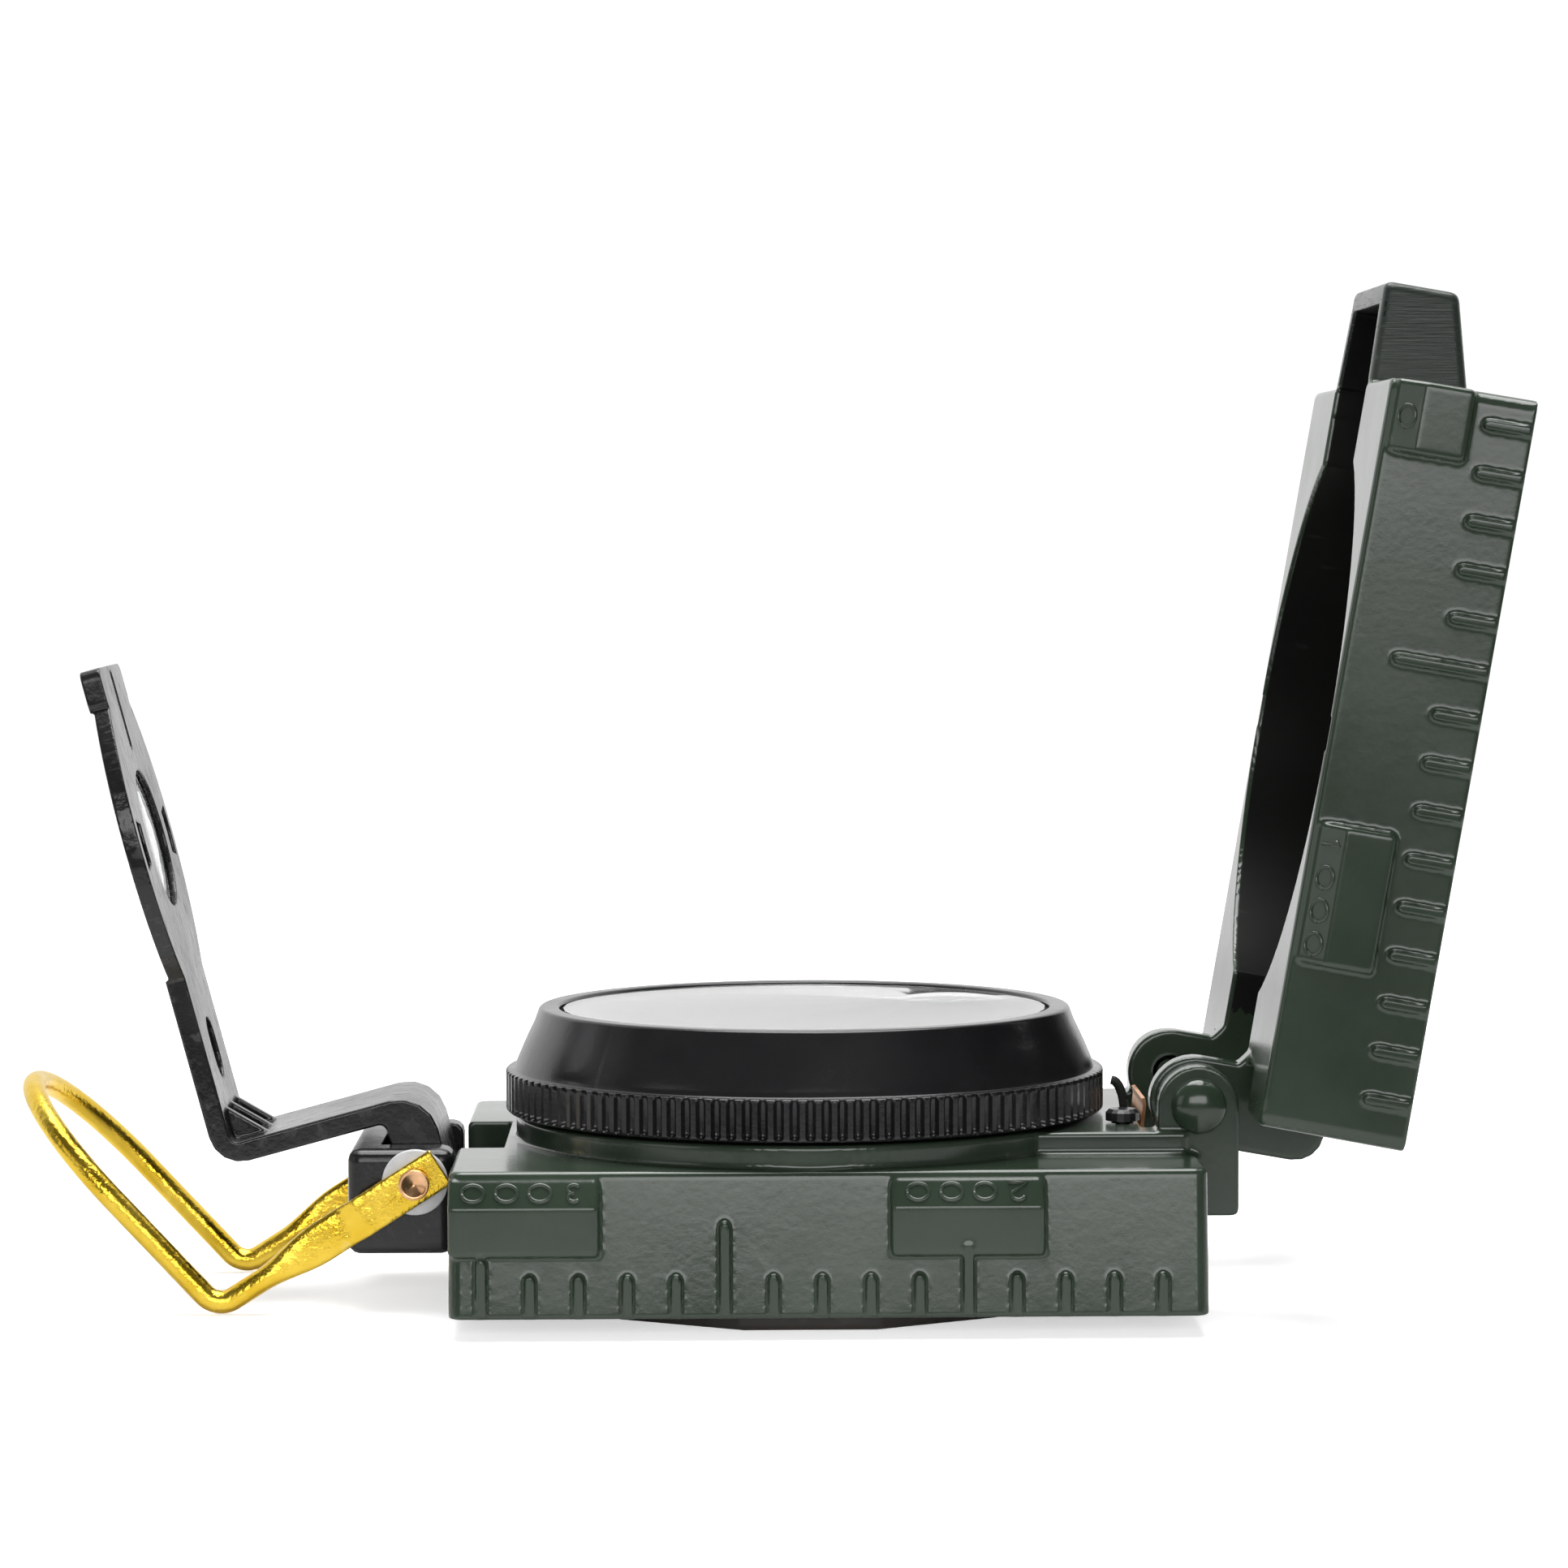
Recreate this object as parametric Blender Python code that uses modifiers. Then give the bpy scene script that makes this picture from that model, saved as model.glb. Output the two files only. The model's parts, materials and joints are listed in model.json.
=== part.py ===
"""Sighting compass with a folding lens bracket, a hinged ruler lid and a thumb ring.

Metres, +Z up. The origin is under the dial's axis, on the plane that the bottom cover rests on.
+X points to the lid hinge and the ruler edge faces -Y.
"""
import math

import bmesh
import bpy
from mathutils import Matrix, Vector

# Clearances
GAP = 0.0003
HINGE_END_GAP = 0.00015

# Case
RULER_Z = 0.0018
CASE_FRONT = -0.0298
HINGE_X = 0.0329
HINGE_Z = 0.0178
SHELL_HEIGHT = 0.0120
SHELL_LENGTH = HINGE_X - CASE_FRONT
RIM_HALF_WIDTH = 0.0255
RULER_HALF_WIDTH = 0.0270
RIM_Z = RULER_Z + SHELL_HEIGHT
FLOOR_TOP = 0.0044
FLOOR_HOLE_RADIUS = 0.0170
BORE_RADIUS = 0.0210
COLLAR_RADIUS = 0.0251
COLLAR_TOP = 0.0158
COLLAR_FILLET = 0.0013
NECK_RADIUS = 0.0222
NECK_TOP = 0.0205
GROOVE_LOW = 0.0179
GROOVE_HIGH = 0.0190
GROOVE_DEPTH = 0.0005

# Ruler: a rib every 100 m of a 1:25000 map, with the hinge at 1500 m
RIB_PITCH = 0.0040
RIB_WIDTH = 0.0012
RIB_PROUD = 0.0002
RIB_COUNT = 15
CASE_RIB = 0.0036
CASE_RIB_HEIGHTS = {5: 0.0062, 10: 0.0079, 15: 0.0050}
LID_RIB = 0.0041
LID_RIB_HEIGHTS = {10: 0.0080}
BOSS_LOW = 0.0051
BOSS_EDGE = 0.0092
BOSS_HIGH = 0.0115
CASE_BOSSES = ((0.0137, 0.0263), (0.0503, 0.0627))
LID_BOSSES = ((0.0141, 0.0258), (0.0566, 0.0626))

# Bottom cover
COVER_SIDES = 12
COVER_APOTHEM = 0.0219
COVER_FLANGE = RULER_Z - GAP
COVER_SCREW_CIRCLE = 0.0194
COVER_SCREW_RADIUS = 0.0008
COVER_SCREW_HEAD = 0.0014
COVER_SCREW_TURNS = (45, 135, 225, 315)
COVER_SCREW_SEAT = 0.0009
COVER_SCREW_RECESS = 0.0002

# Hinge
EAR_RADIUS = 0.0034
EAR_INNER = 0.0127
EAR_OUTER = 0.0159
EAR_BOTTOM = 0.0085
POCKET_DEPTH = 0.0045
POCKET_BOTTOM = 0.0055
PLATFORM_START = 0.0190
PLATFORM_HALF_WIDTH = 0.0162
PLATFORM_TOP = COLLAR_TOP - 0.0001
HINGE_PIN_RADIUS = 0.0012
HINGE_HEAD_RADIUS = 0.00235
HINGE_HEAD_HEIGHT = 0.0013
FRICTION_SPRING_HALF_WIDTH = 0.0050
FRICTION_RIVET_Z = 0.0100
FRICTION_RIVET_RADIUS = 0.0008
FRICTION_SPRING_THICKNESS = 0.0003

# Click spring of the bezel
CLICK_SCREW = (0.0270, -0.0095)
CLICK_SCREW_RADIUS = 0.0006
CLICK_SCREW_HEAD = 0.00145
CLICK_WIRE_RADIUS = 0.00040
CLICK_SPRING_FOOT = (0.0274, -0.0064)
CLICK_SPRING_LEAN = 0.0011
CLICK_SPRING_TOP = 0.0190

# Lid, in its own frame: X is out through the lid, Z runs along it from the hinge axis
LID_LEAN = math.radians(9.95)
LID_RIM = 0.0040
LID_OUTER = LID_RIM + SHELL_HEIGHT
LID_PLATE = 0.0015
LID_CAVITY_RADIUS = 0.0250
LID_CHANNEL_HINGE = 0.0097
LID_CHANNEL_FRONT = 0.0103
ARM_RADIUS = 0.0038
ARM_OUTER = 0.0123
ARM_HEEL = 0.0114
EAR_NOTCH_LENGTH = 0.0040
EAR_NOTCH_DEPTH = 0.0104
TONGUE_SHOULDER = 0.0626
TONGUE_TIP = 0.0713
TONGUE_FOOT_HALF_WIDTH = 0.0120
TONGUE_TIP_HALF_WIDTH = 0.0100
TONGUE_FOOT_DEPTH = 0.0127
TONGUE_TIP_DEPTH = 0.0105
TONGUE_WALL = 0.0016
TONGUE_END_WALL = 0.0019
WINDOW_START = 0.0214
WINDOW_END = 0.0586
WINDOW_HALF_WIDTH = 0.0030
SIGHT_WIRE_RADIUS = 0.00025
ANCHOR_LENGTH = 0.0016

# Bezel
BEZEL_TOP = 0.02505
BEZEL_BOTTOM = 0.0161
BEZEL_BAND_RADIUS = 0.0260
BEZEL_BAND_TOP = 0.0197
BEZEL_TOP_RADIUS = 0.02315
BEZEL_FOOT_RADIUS = 0.0252
BEZEL_WINDOW_RADIUS = 0.0213
BEZEL_GLASS_RADIUS = 0.0219
BEZEL_GLASS_BOTTOM = 0.0232
BEZEL_GLASS_TOP = 0.0242
BEZEL_GLASS_CROWN = 0.02485
KNURL_TEETH = 124
KNURL_DEPTH = 0.0004
MAGNIFIER = (0.0129, 0.0076)
MAGNIFIER_RADIUS = 0.0045
MAGNIFIER_RISE = 0.00035

# Front block and its cross pin
PIVOT_X = -0.0333
PIVOT_Z = 0.0112
BLOCK_FRONT = -0.0391
BLOCK_HALF_WIDTH = 0.0113
BLOCK_BOTTOM = 0.0049
BLOCK_TOP = 0.0139
SLOT_HALF_WIDTH = 0.0076
BLOCK_PIN_RADIUS = 0.0010
BLOCK_PIN_Y = 0.0050
BLOCK_PIN_Z = 0.0060
CHANNEL_HALF_WIDTH = 0.0092
CHANNEL_END = -0.0259
CHANNEL_BOTTOM = 0.0075
PIN_RADIUS = 0.0008
PIN_HEAD_RADIUS = 0.0013
WASHER_RADIUS = 0.0028
WASHER_THICKNESS = 0.0005

# Lens bracket, in its own frame: X is away from the panel, Z runs up the panel
BRACKET_LEAN = math.radians(-15.0)
BRACKET_HALF_WIDTH = 0.00725
LEG_FACE = 0.0027
LEG_BACK = -0.0016
ARM_LOW = 0.0050
ARM_HIGH = 0.0068
PANEL_OUTER = -0.0161
PANEL_INNER = -0.0147
PANEL_TOP = 0.0491
SIGHT_SLIT_HALF_WIDTH = 0.0006
PANEL_TOP_HALF_WIDTH = 0.0075
LENS_HEIGHT = 0.0336
LENS_LEAF_RADIUS = 0.0170
LENS_LEAF_HALF_CHORD = 0.01205
SIDE_SLOT_INNER = 0.0086
SIDE_SLOT_OUTER = 0.0106
PAD_THICKNESS = 0.00175
LENS_RADIUS = 0.0064
LENS_LIP_RADIUS = 0.0061

# Thumb ring
RING_WIRE_RADIUS = 0.0010
RING_HALF_WIDTH = 0.0120
RING_LUG_Y = 0.0127
RING_LUG_REACH = 0.0026
RING_LUG_HALF_WIDTH = 0.00175
RING_LUG_THICKNESS = 0.0006
RING_LUG_LENGTH = 0.0052
RING_JOGGLE_END = 0.0076
RING_FLAT_END = 0.0115
RING_BEND = (-0.0501, 0.00052)
RING_END = (-0.0669, 0.0185)
RING_BEND_RADIUS = 0.0020

# Capsule and dial
CAPSULE_RADIUS = 0.0207
CAPSULE_INNER = 0.0186
CAPSULE_BOTTOM = FLOOR_TOP + GAP
CAPSULE_TOP = 0.0202
CAPSULE_STEP_Z = 0.0169
CAPSULE_STEP_RADIUS = 0.0198
DIAL_RADIUS = 0.0176
DIAL_BOTTOM = 0.0130

ROUND_STEPS = 56
SMALL_STEPS = 16


def clear_scene():
    for obj in list(bpy.data.objects):
        bpy.data.objects.remove(obj, do_unlink=True)
    for group in list(bpy.data.collections):
        bpy.data.collections.remove(group)


def make_group(name):
    group = bpy.data.collections.new(name)
    bpy.context.scene.collection.children.link(group)
    return group


clear_scene()
PARTS = make_group("sighting_compass")
CUTTERS = make_group("cutters")


def finish(name, colour, roughness, metallic):
    """A plain Principled finish."""
    finished = bpy.data.materials.new(name)
    finished.use_nodes = True
    shader = finished.node_tree.nodes["Principled BSDF"]
    shader.inputs["Base Color"].default_value = (*colour, 1.0)
    shader.inputs["Roughness"].default_value = roughness
    shader.inputs["Metallic"].default_value = metallic
    return finished


def glass_finish(name, colour):
    clear = finish(name, colour, 0.05, 0.0)
    shader = clear.node_tree.nodes["Principled BSDF"]
    shader.inputs["Transmission Weight"].default_value = 0.9
    return clear


def add_mesh(name, bm, group=PARTS, parent=None):
    """Turn a bmesh into a linked object."""
    mesh = bpy.data.meshes.new(name)
    bmesh.ops.recalc_face_normals(bm, faces=bm.faces)
    bm.to_mesh(mesh)
    bm.free()
    obj = bpy.data.objects.new(name, mesh)
    group.objects.link(obj)
    obj.parent = parent
    return obj


def bake(obj):
    """Replace an object by the welded mesh that it evaluates to."""
    bpy.context.view_layer.update()
    depsgraph = bpy.context.evaluated_depsgraph_get()
    mesh = bpy.data.meshes.new_from_object(obj.evaluated_get(depsgraph))
    bm = bmesh.new()
    bm.from_mesh(mesh)
    bm.transform(obj.matrix_world)
    bmesh.ops.remove_doubles(bm, verts=bm.verts, dist=0.000001)
    bmesh.ops.triangulate(bm, faces=[face for face in bm.faces if len(face.verts) > 4])
    name = obj.name
    group = obj.users_collection[0]
    bpy.data.objects.remove(obj, do_unlink=True)
    return add_mesh(name, bm, group)


def box(name, low, high, group=PARTS, parent=None):
    bm = bmesh.new()
    bmesh.ops.create_cube(bm, size=1.0)
    size = Vector(high) - Vector(low)
    middle = (Vector(high) + Vector(low)) / 2
    bm.transform(Matrix.Translation(middle) @ Matrix.Diagonal((*size, 1.0)))
    return add_mesh(name, bm, group, parent)


def wedge(name, z_low, z_high, low_rect, high_rect, group=PARTS, parent=None):
    """A cube whose lower and upper faces are the rectangles (x0, x1, y0, y1)."""
    bm = bmesh.new()
    bmesh.ops.create_cube(bm, size=1.0)
    for vert in bm.verts:
        rect = high_rect if vert.co.z > 0 else low_rect
        x = rect[1] if vert.co.x > 0 else rect[0]
        y = rect[3] if vert.co.y > 0 else rect[2]
        z = z_high if vert.co.z > 0 else z_low
        vert.co = (x, y, z)
    return add_mesh(name, bm, group, parent)


def soften(obj, width, segments=2, angle=40.0):
    """Round the sharp edges of an object."""
    bevel = obj.modifiers.new("soften", "BEVEL")
    bevel.width = width
    bevel.segments = segments
    bevel.limit_method = "ANGLE"
    bevel.angle_limit = math.radians(angle)
    return obj


AXIS_TURN = {
    "X": Matrix.Rotation(math.radians(90), 4, "Y"),
    "Y": Matrix.Rotation(math.radians(-90), 4, "X"),
    "Z": Matrix.Identity(4),
}


def rod(name, radius, start, end, axis, at=(0, 0, 0), group=PARTS, parent=None, steps=SMALL_STEPS):
    """A cylinder along an axis between two coordinates of that axis."""
    bm = bmesh.new()
    bmesh.ops.create_cone(
        bm, cap_ends=True, segments=steps, radius1=radius, radius2=radius, depth=end - start)
    bm.transform(Matrix.Translation((0, 0, (start + end) / 2)))
    bm.transform(Matrix.Translation(at) @ AXIS_TURN[axis])
    return add_mesh(name, bm, group, parent)


def turned(name, profile, axis="Z", at=(0, 0, 0), closed=True, group=PARTS, parent=None, steps=ROUND_STEPS):
    """Turn a profile of (radius, height) points, listed down its outer side."""
    bm = bmesh.new()
    verts = [bm.verts.new((radius, 0, height)) for radius, height in profile]
    for first, second in zip(verts, verts[1:]):
        bm.edges.new((first, second))
    if closed:
        bm.edges.new((verts[-1], verts[0]))
    mesh = bpy.data.meshes.new(name)
    bm.to_mesh(mesh)
    bm.free()
    obj = bpy.data.objects.new(name, mesh)
    group.objects.link(obj)
    screw = obj.modifiers.new("turn", "SCREW")
    screw.steps = steps
    screw.render_steps = steps
    screw.use_merge_vertices = True
    screw.merge_threshold = 0.000005
    obj.matrix_world = Matrix.Translation(at) @ AXIS_TURN[axis]
    obj = bake(obj)
    obj.parent = parent
    return obj


PLANES = {
    "XY": Matrix(((1, 0, 0, 0), (0, 1, 0, 0), (0, 0, 1, 0), (0, 0, 0, 1))),
    "XZ": Matrix(((1, 0, 0, 0), (0, 0, -1, 0), (0, 1, 0, 0), (0, 0, 0, 1))),
    "YZ": Matrix(((0, 0, 1, 0), (1, 0, 0, 0), (0, 1, 0, 0), (0, 0, 0, 1))),
}
NORMALS = {"XY": Vector((0, 0, 1)), "XZ": Vector((0, 1, 0)), "YZ": Vector((1, 0, 0))}


def sheet(name, outline, plane, start, end, holes=(), group=PARTS, parent=None):
    """A flat outline with holes, as thick as start to end across its plane."""
    curve = bpy.data.curves.new(name, "CURVE")
    curve.dimensions = "2D"
    curve.fill_mode = "BOTH"
    curve.extrude = abs(end - start) / 2
    for loop in (outline, *holes):
        spline = curve.splines.new("POLY")
        spline.points.add(len(loop) - 1)
        for point, (u, v) in zip(spline.points, loop):
            point.co = (u, v, 0, 1)
        spline.use_cyclic_u = True
    obj = bpy.data.objects.new(name, curve)
    group.objects.link(obj)
    obj.matrix_world = Matrix.Translation(NORMALS[plane] * (start + end) / 2) @ PLANES[plane]
    obj = bake(obj)
    obj.parent = parent
    return obj


def combine(target, other, operation):
    """Add a Boolean of other on target, and put other with the cutters."""
    for group in list(other.users_collection):
        group.objects.unlink(other)
    CUTTERS.objects.link(other)
    other.hide_render = True
    other.display_type = "WIRE"
    other.parent = target.parent
    boolean = target.modifiers.new(other.name, "BOOLEAN")
    boolean.operation = operation
    boolean.object = other
    boolean.solver = "EXACT"
    return target


def cut(target, *others):
    for other in others:
        combine(target, other, "DIFFERENCE")
    return target


def weld(target, *others):
    for other in others:
        combine(target, other, "UNION")
    return target


def merge(name, objects, parent=None):
    """Join separate solids into one object."""
    bm = bmesh.new()
    group = objects[0].users_collection[0]
    for obj in objects:
        bm.from_mesh(obj.data)
        bpy.data.objects.remove(obj, do_unlink=True)
    return add_mesh(name, bm, group, parent)


def arc(centre, radius, start, end, steps):
    """Points on an arc, angles in degrees, both ends included."""
    angles = [math.radians(start + (end - start) * step / steps) for step in range(steps + 1)]
    return [(centre[0] + radius * math.cos(a), centre[1] + radius * math.sin(a)) for a in angles]


def circle(centre, radius, steps):
    return arc(centre, radius, 0, 360, steps)[:-1]


def slot(centre, half_width, half_length, steps=8):
    """A slot with round ends along the second axis."""
    reach = half_length - half_width
    top = arc((centre[0], centre[1] + reach), half_width, 0, 180, steps)
    bottom = arc((centre[0], centre[1] - reach), half_width, 180, 360, steps)
    return top + bottom


def fillet(corner, before, after, radius, steps=4):
    """Points that round a corner between two neighbours."""
    corner = Vector(corner)
    to_before = (Vector(before) - corner).normalized()
    to_after = (Vector(after) - corner).normalized()
    half = to_before.angle(to_after) / 2
    centre = corner + (to_before + to_after).normalized() * radius / math.sin(half)
    first = corner + to_before * radius / math.tan(half) - centre
    last = corner + to_after * radius / math.tan(half) - centre
    turn = first.angle_signed(last)
    points = []
    for step in range(steps + 1):
        spoke = first.copy()
        spoke.rotate(Matrix.Rotation(-turn * step / steps, 2))
        points.append(tuple(centre + spoke))
    return points


def rounded(corners):
    """An outline from (u, v, radius) corners."""
    points = []
    for index, (u, v, radius) in enumerate(corners):
        if radius == 0:
            points.append((u, v))
            continue
        before = corners[index - 1][:2]
        after = corners[(index + 1) % len(corners)][:2]
        points += fillet((u, v), before, after, radius)
    return points


def paint(obj, finished):
    obj.data.materials.clear()
    obj.data.materials.append(finished)
    obj.data.shade_smooth()
    obj.data.set_sharp_from_angle(angle=math.radians(35))
    return obj


def pivot(name, at, turn):
    """An empty on a joint's axis, turned about Y."""
    empty = bpy.data.objects.new(name, None)
    empty.empty_display_size = 0.01
    empty.location = at
    empty.rotation_euler = (0, turn, 0)
    PARTS.objects.link(empty)
    return empty


# ---------------------------------------------------------------- ruler shells


def shell_body(name, length):
    """A box that widens towards the ruler plane. X runs from the hinge and Z up from the ruler."""
    bm = bmesh.new()
    bmesh.ops.create_cube(bm, size=1.0)
    for vert in bm.verts:
        half_width = RIM_HALF_WIDTH if vert.co.z > 0 else RULER_HALF_WIDTH
        x = length if vert.co.x > 0 else HINGE_END_GAP
        y = math.copysign(half_width, vert.co.y)
        z = SHELL_HEIGHT if vert.co.z > 0 else 0
        vert.co = (x, y, z)
    upright = [e for e in bm.edges if abs(e.verts[0].co.z - e.verts[1].co.z) > SHELL_HEIGHT / 2]
    bmesh.ops.bevel(
        bm, geom=upright, offset=0.0010, segments=3, profile=0.5, affect="EDGES", clamp_overlap=True)
    level = [e for e in bm.edges if min(v.co.z for v in e.verts) > SHELL_HEIGHT * 0.9]
    bmesh.ops.bevel(
        bm, geom=level, offset=0.0004, segments=2, profile=0.5, affect="EDGES", clamp_overlap=True)
    return add_mesh(name, bm)


def ruler_ribs(name, height, special):
    """The ribs of one half of the ruler, counted from the hinge."""
    ribs = []
    low = 0.0002
    half = RIB_WIDTH / 2
    for number in range(1, RIB_COUNT + 1):
        x = number * RIB_PITCH
        top = special.get(number, height)
        outline = [(x - half, low)] + [(x + half, low)]
        outline += arc((x, top - half), half, 0, 180, 4)
        ribs.append(sheet("rib", outline, "XZ", -RULER_HALF_WIDTH - RIB_PROUD, -RIM_HALF_WIDTH + 0.0010))
    return merge(name, ribs)


def number_boss(name, start, end):
    """A raised block with a slanted strip for its number."""
    outline = [
        (-RIM_HALF_WIDTH + 0.0010, BOSS_LOW),
        (-RULER_HALF_WIDTH - 0.0001, BOSS_LOW),
        (-RULER_HALF_WIDTH - 0.0001, BOSS_EDGE),
        (-RIM_HALF_WIDTH - 0.0002, BOSS_HIGH),
        (-RIM_HALF_WIDTH + 0.0010, BOSS_HIGH),
    ]
    return soften(sheet(name, outline, "YZ", start, end), 0.00035, 2)


def ruler_shell(name, length, rib_height, special, bosses):
    shell = shell_body(name, length)
    weld(shell, ruler_ribs(name + "_ribs", rib_height, special))
    for number, (start, end) in enumerate(bosses):
        weld(shell, number_boss(f"{name}_boss_{number}", start, end))
    return shell


def settle(obj, matrix):
    """Evaluate an object and its operands, and leave one mesh moved by a matrix."""
    operands = [m.object for m in obj.modifiers if m.type == "BOOLEAN"]
    obj.matrix_world = Matrix.Identity(4)
    bpy.context.view_layer.update()
    obj = bake(obj)
    for operand in operands:
        bpy.data.objects.remove(operand, do_unlink=True)
    obj.data.transform(matrix)
    if matrix.determinant() < 0:
        obj.data.flip_normals()
    return obj


# ------------------------------------------------------------------------ case


def base_case():
    shell = ruler_shell("base_case", SHELL_LENGTH, CASE_RIB, CASE_RIB_HEIGHTS, CASE_BOSSES)
    toward_front = Matrix.Translation((HINGE_X, 0, RULER_Z)) @ Matrix.Diagonal((-1, 1, 1, 1))
    base = settle(shell, toward_front)
    foot = COLLAR_RADIUS + COLLAR_FILLET
    fillet_arc = arc((foot, RIM_Z - 0.0002 + COLLAR_FILLET), COLLAR_FILLET, 180, 270, 3)
    collar = turned("collar", [
        (0.0200, NECK_TOP),
        (NECK_RADIUS, NECK_TOP),
        (NECK_RADIUS, GROOVE_HIGH),
        (NECK_RADIUS - GROOVE_DEPTH, GROOVE_HIGH),
        (NECK_RADIUS - GROOVE_DEPTH, GROOVE_LOW),
        (NECK_RADIUS, GROOVE_LOW),
        (NECK_RADIUS, COLLAR_TOP),
        (COLLAR_RADIUS - 0.0002, COLLAR_TOP),
        (COLLAR_RADIUS, COLLAR_TOP - 0.0002),
        *fillet_arc,
        (foot, RIM_Z - 0.0020),
        (0.0200, RIM_Z - 0.0020),
    ])
    side = RIM_HALF_WIDTH - 0.0001
    combine(collar, box("collar_limit", (-0.04, -side, 0), (0.04, side, 0.04)), "INTERSECT")
    platform = box(
        "platform",
        (PLATFORM_START, -PLATFORM_HALF_WIDTH, RIM_Z - 0.0020),
        (HINGE_X - HINGE_END_GAP - 0.0008, PLATFORM_HALF_WIDTH, PLATFORM_TOP))
    weld(base, collar, soften(platform, 0.0003, 2))
    ear_outline = rounded([
        (HINGE_X + EAR_RADIUS, EAR_BOTTOM, 0.0006),
        (HINGE_X + EAR_RADIUS, HINGE_Z, 0),
        *[(x, z, 0) for x, z in arc((HINGE_X, HINGE_Z), EAR_RADIUS, 10, 170, 14)],
        (HINGE_X - EAR_RADIUS, HINGE_Z, 0),
        (HINGE_X - EAR_RADIUS, RIM_Z - 0.0010, 0),
        (HINGE_X - 0.0020, RIM_Z - 0.0010, 0),
        (HINGE_X - 0.0020, EAR_BOTTOM, 0),
    ])
    for side_name, side in (("near", -1), ("far", 1)):
        ear = sheet(
            "ear_" + side_name, ear_outline, "XZ",
            min(side * EAR_OUTER, side * 0.0115), max(side * EAR_OUTER, side * 0.0115))
        weld(base, soften(ear, 0.0002, 1))
    cut(
        base,
        box(
            "pocket",
            (HINGE_X - POCKET_DEPTH, -EAR_INNER, POCKET_BOTTOM), (HINGE_X + 0.01, EAR_INNER, 0.04)),
        rod("bore", BORE_RADIUS, FLOOR_TOP, 0.04, "Z", steps=ROUND_STEPS),
        rod("floor_hole", FLOOR_HOLE_RADIUS, 0, 0.02, "Z", steps=ROUND_STEPS),
        box(
            "arm_channel",
            (CASE_FRONT - 0.01, -CHANNEL_HALF_WIDTH, CHANNEL_BOTTOM),
            (CHANNEL_END, CHANNEL_HALF_WIDTH, 0.04)),
        rod(
            "hinge_hole", HINGE_PIN_RADIUS + GAP, -0.03, 0.03, "Y",
            at=(HINGE_X, 0, HINGE_Z), steps=SMALL_STEPS),
        rod(
            "click_screw_hole", CLICK_SCREW_RADIUS + GAP, COLLAR_TOP - 0.0030, 0.03, "Z",
            at=(*CLICK_SCREW, 0), steps=12),
        rod(
            "click_spring_hole", CLICK_WIRE_RADIUS + GAP, COLLAR_TOP - 0.0020, 0.03, "Z",
            at=(*CLICK_SPRING_FOOT, 0), steps=12),
        rod(
            "friction_rivet_hole", FRICTION_RIVET_RADIUS + GAP, HINGE_X - POCKET_DEPTH - 0.0025, HINGE_X, "X",
            at=(0, 0, FRICTION_RIVET_Z), steps=12),
        merge("cover_screw_holes", [
            rod("hole", COVER_SCREW_RADIUS + GAP, 0, 0.01, "Z", at=(x, y, 0), steps=12)
            for x, y in cover_screw_places()]),
        merge("block_pin_holes", [
            rod(
                "hole", BLOCK_PIN_RADIUS + GAP, CASE_FRONT - 0.001, CASE_FRONT + 0.0036, "X",
                at=(0, y, BLOCK_PIN_Z), steps=12)
            for y in (-BLOCK_PIN_Y, BLOCK_PIN_Y)]),
    )
    return paint(base, OLIVE)


def cover_screw_places():
    return [
        (COVER_SCREW_CIRCLE * math.cos(math.radians(turn)), COVER_SCREW_CIRCLE * math.sin(math.radians(turn)))
        for turn in COVER_SCREW_TURNS]


def bottom_cover():
    corner = COVER_APOTHEM / math.cos(math.pi / COVER_SIDES)
    half_side = 180 / COVER_SIDES
    outline = arc((0, 0), corner, half_side, half_side + 360, COVER_SIDES)[:-1]
    cover = soften(sheet("bottom_cover", outline, "XY", 0, COVER_FLANGE), 0.0002, 1)
    spigot = rod(
        "cover_spigot", FLOOR_HOLE_RADIUS - GAP, COVER_FLANGE - 0.0005, FLOOR_TOP - GAP, "Z", steps=40)
    weld(cover, spigot)
    for name, radius, low, high in (
            ("cover_counterbores", COVER_SCREW_HEAD + GAP, -0.001, COVER_SCREW_SEAT),
            ("cover_clearances", COVER_SCREW_RADIUS + GAP, 0.0005, 0.0030)):
        cut(cover, merge(name, [
            rod("hole", radius, low, high, "Z", at=(x, y, 0), steps=12) for x, y in cover_screw_places()]))
    return paint(cover, COVER_BROWN)


def bottom_cover_screws():
    for number, (x, y) in enumerate(cover_screw_places(), 1):
        screw = turned(f"bottom_cover_screw_{number}", [
            (0, FLOOR_TOP - 0.0001),
            (COVER_SCREW_RADIUS, FLOOR_TOP - 0.0001),
            (COVER_SCREW_RADIUS, COVER_SCREW_SEAT + 0.0001),
            (COVER_SCREW_HEAD, COVER_SCREW_SEAT - 0.0003),
            (COVER_SCREW_HEAD, COVER_SCREW_RECESS),
            (0, COVER_SCREW_RECESS),
        ], at=(x, y, 0), closed=False, steps=12)
        paint(screw, STEEL)


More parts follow.
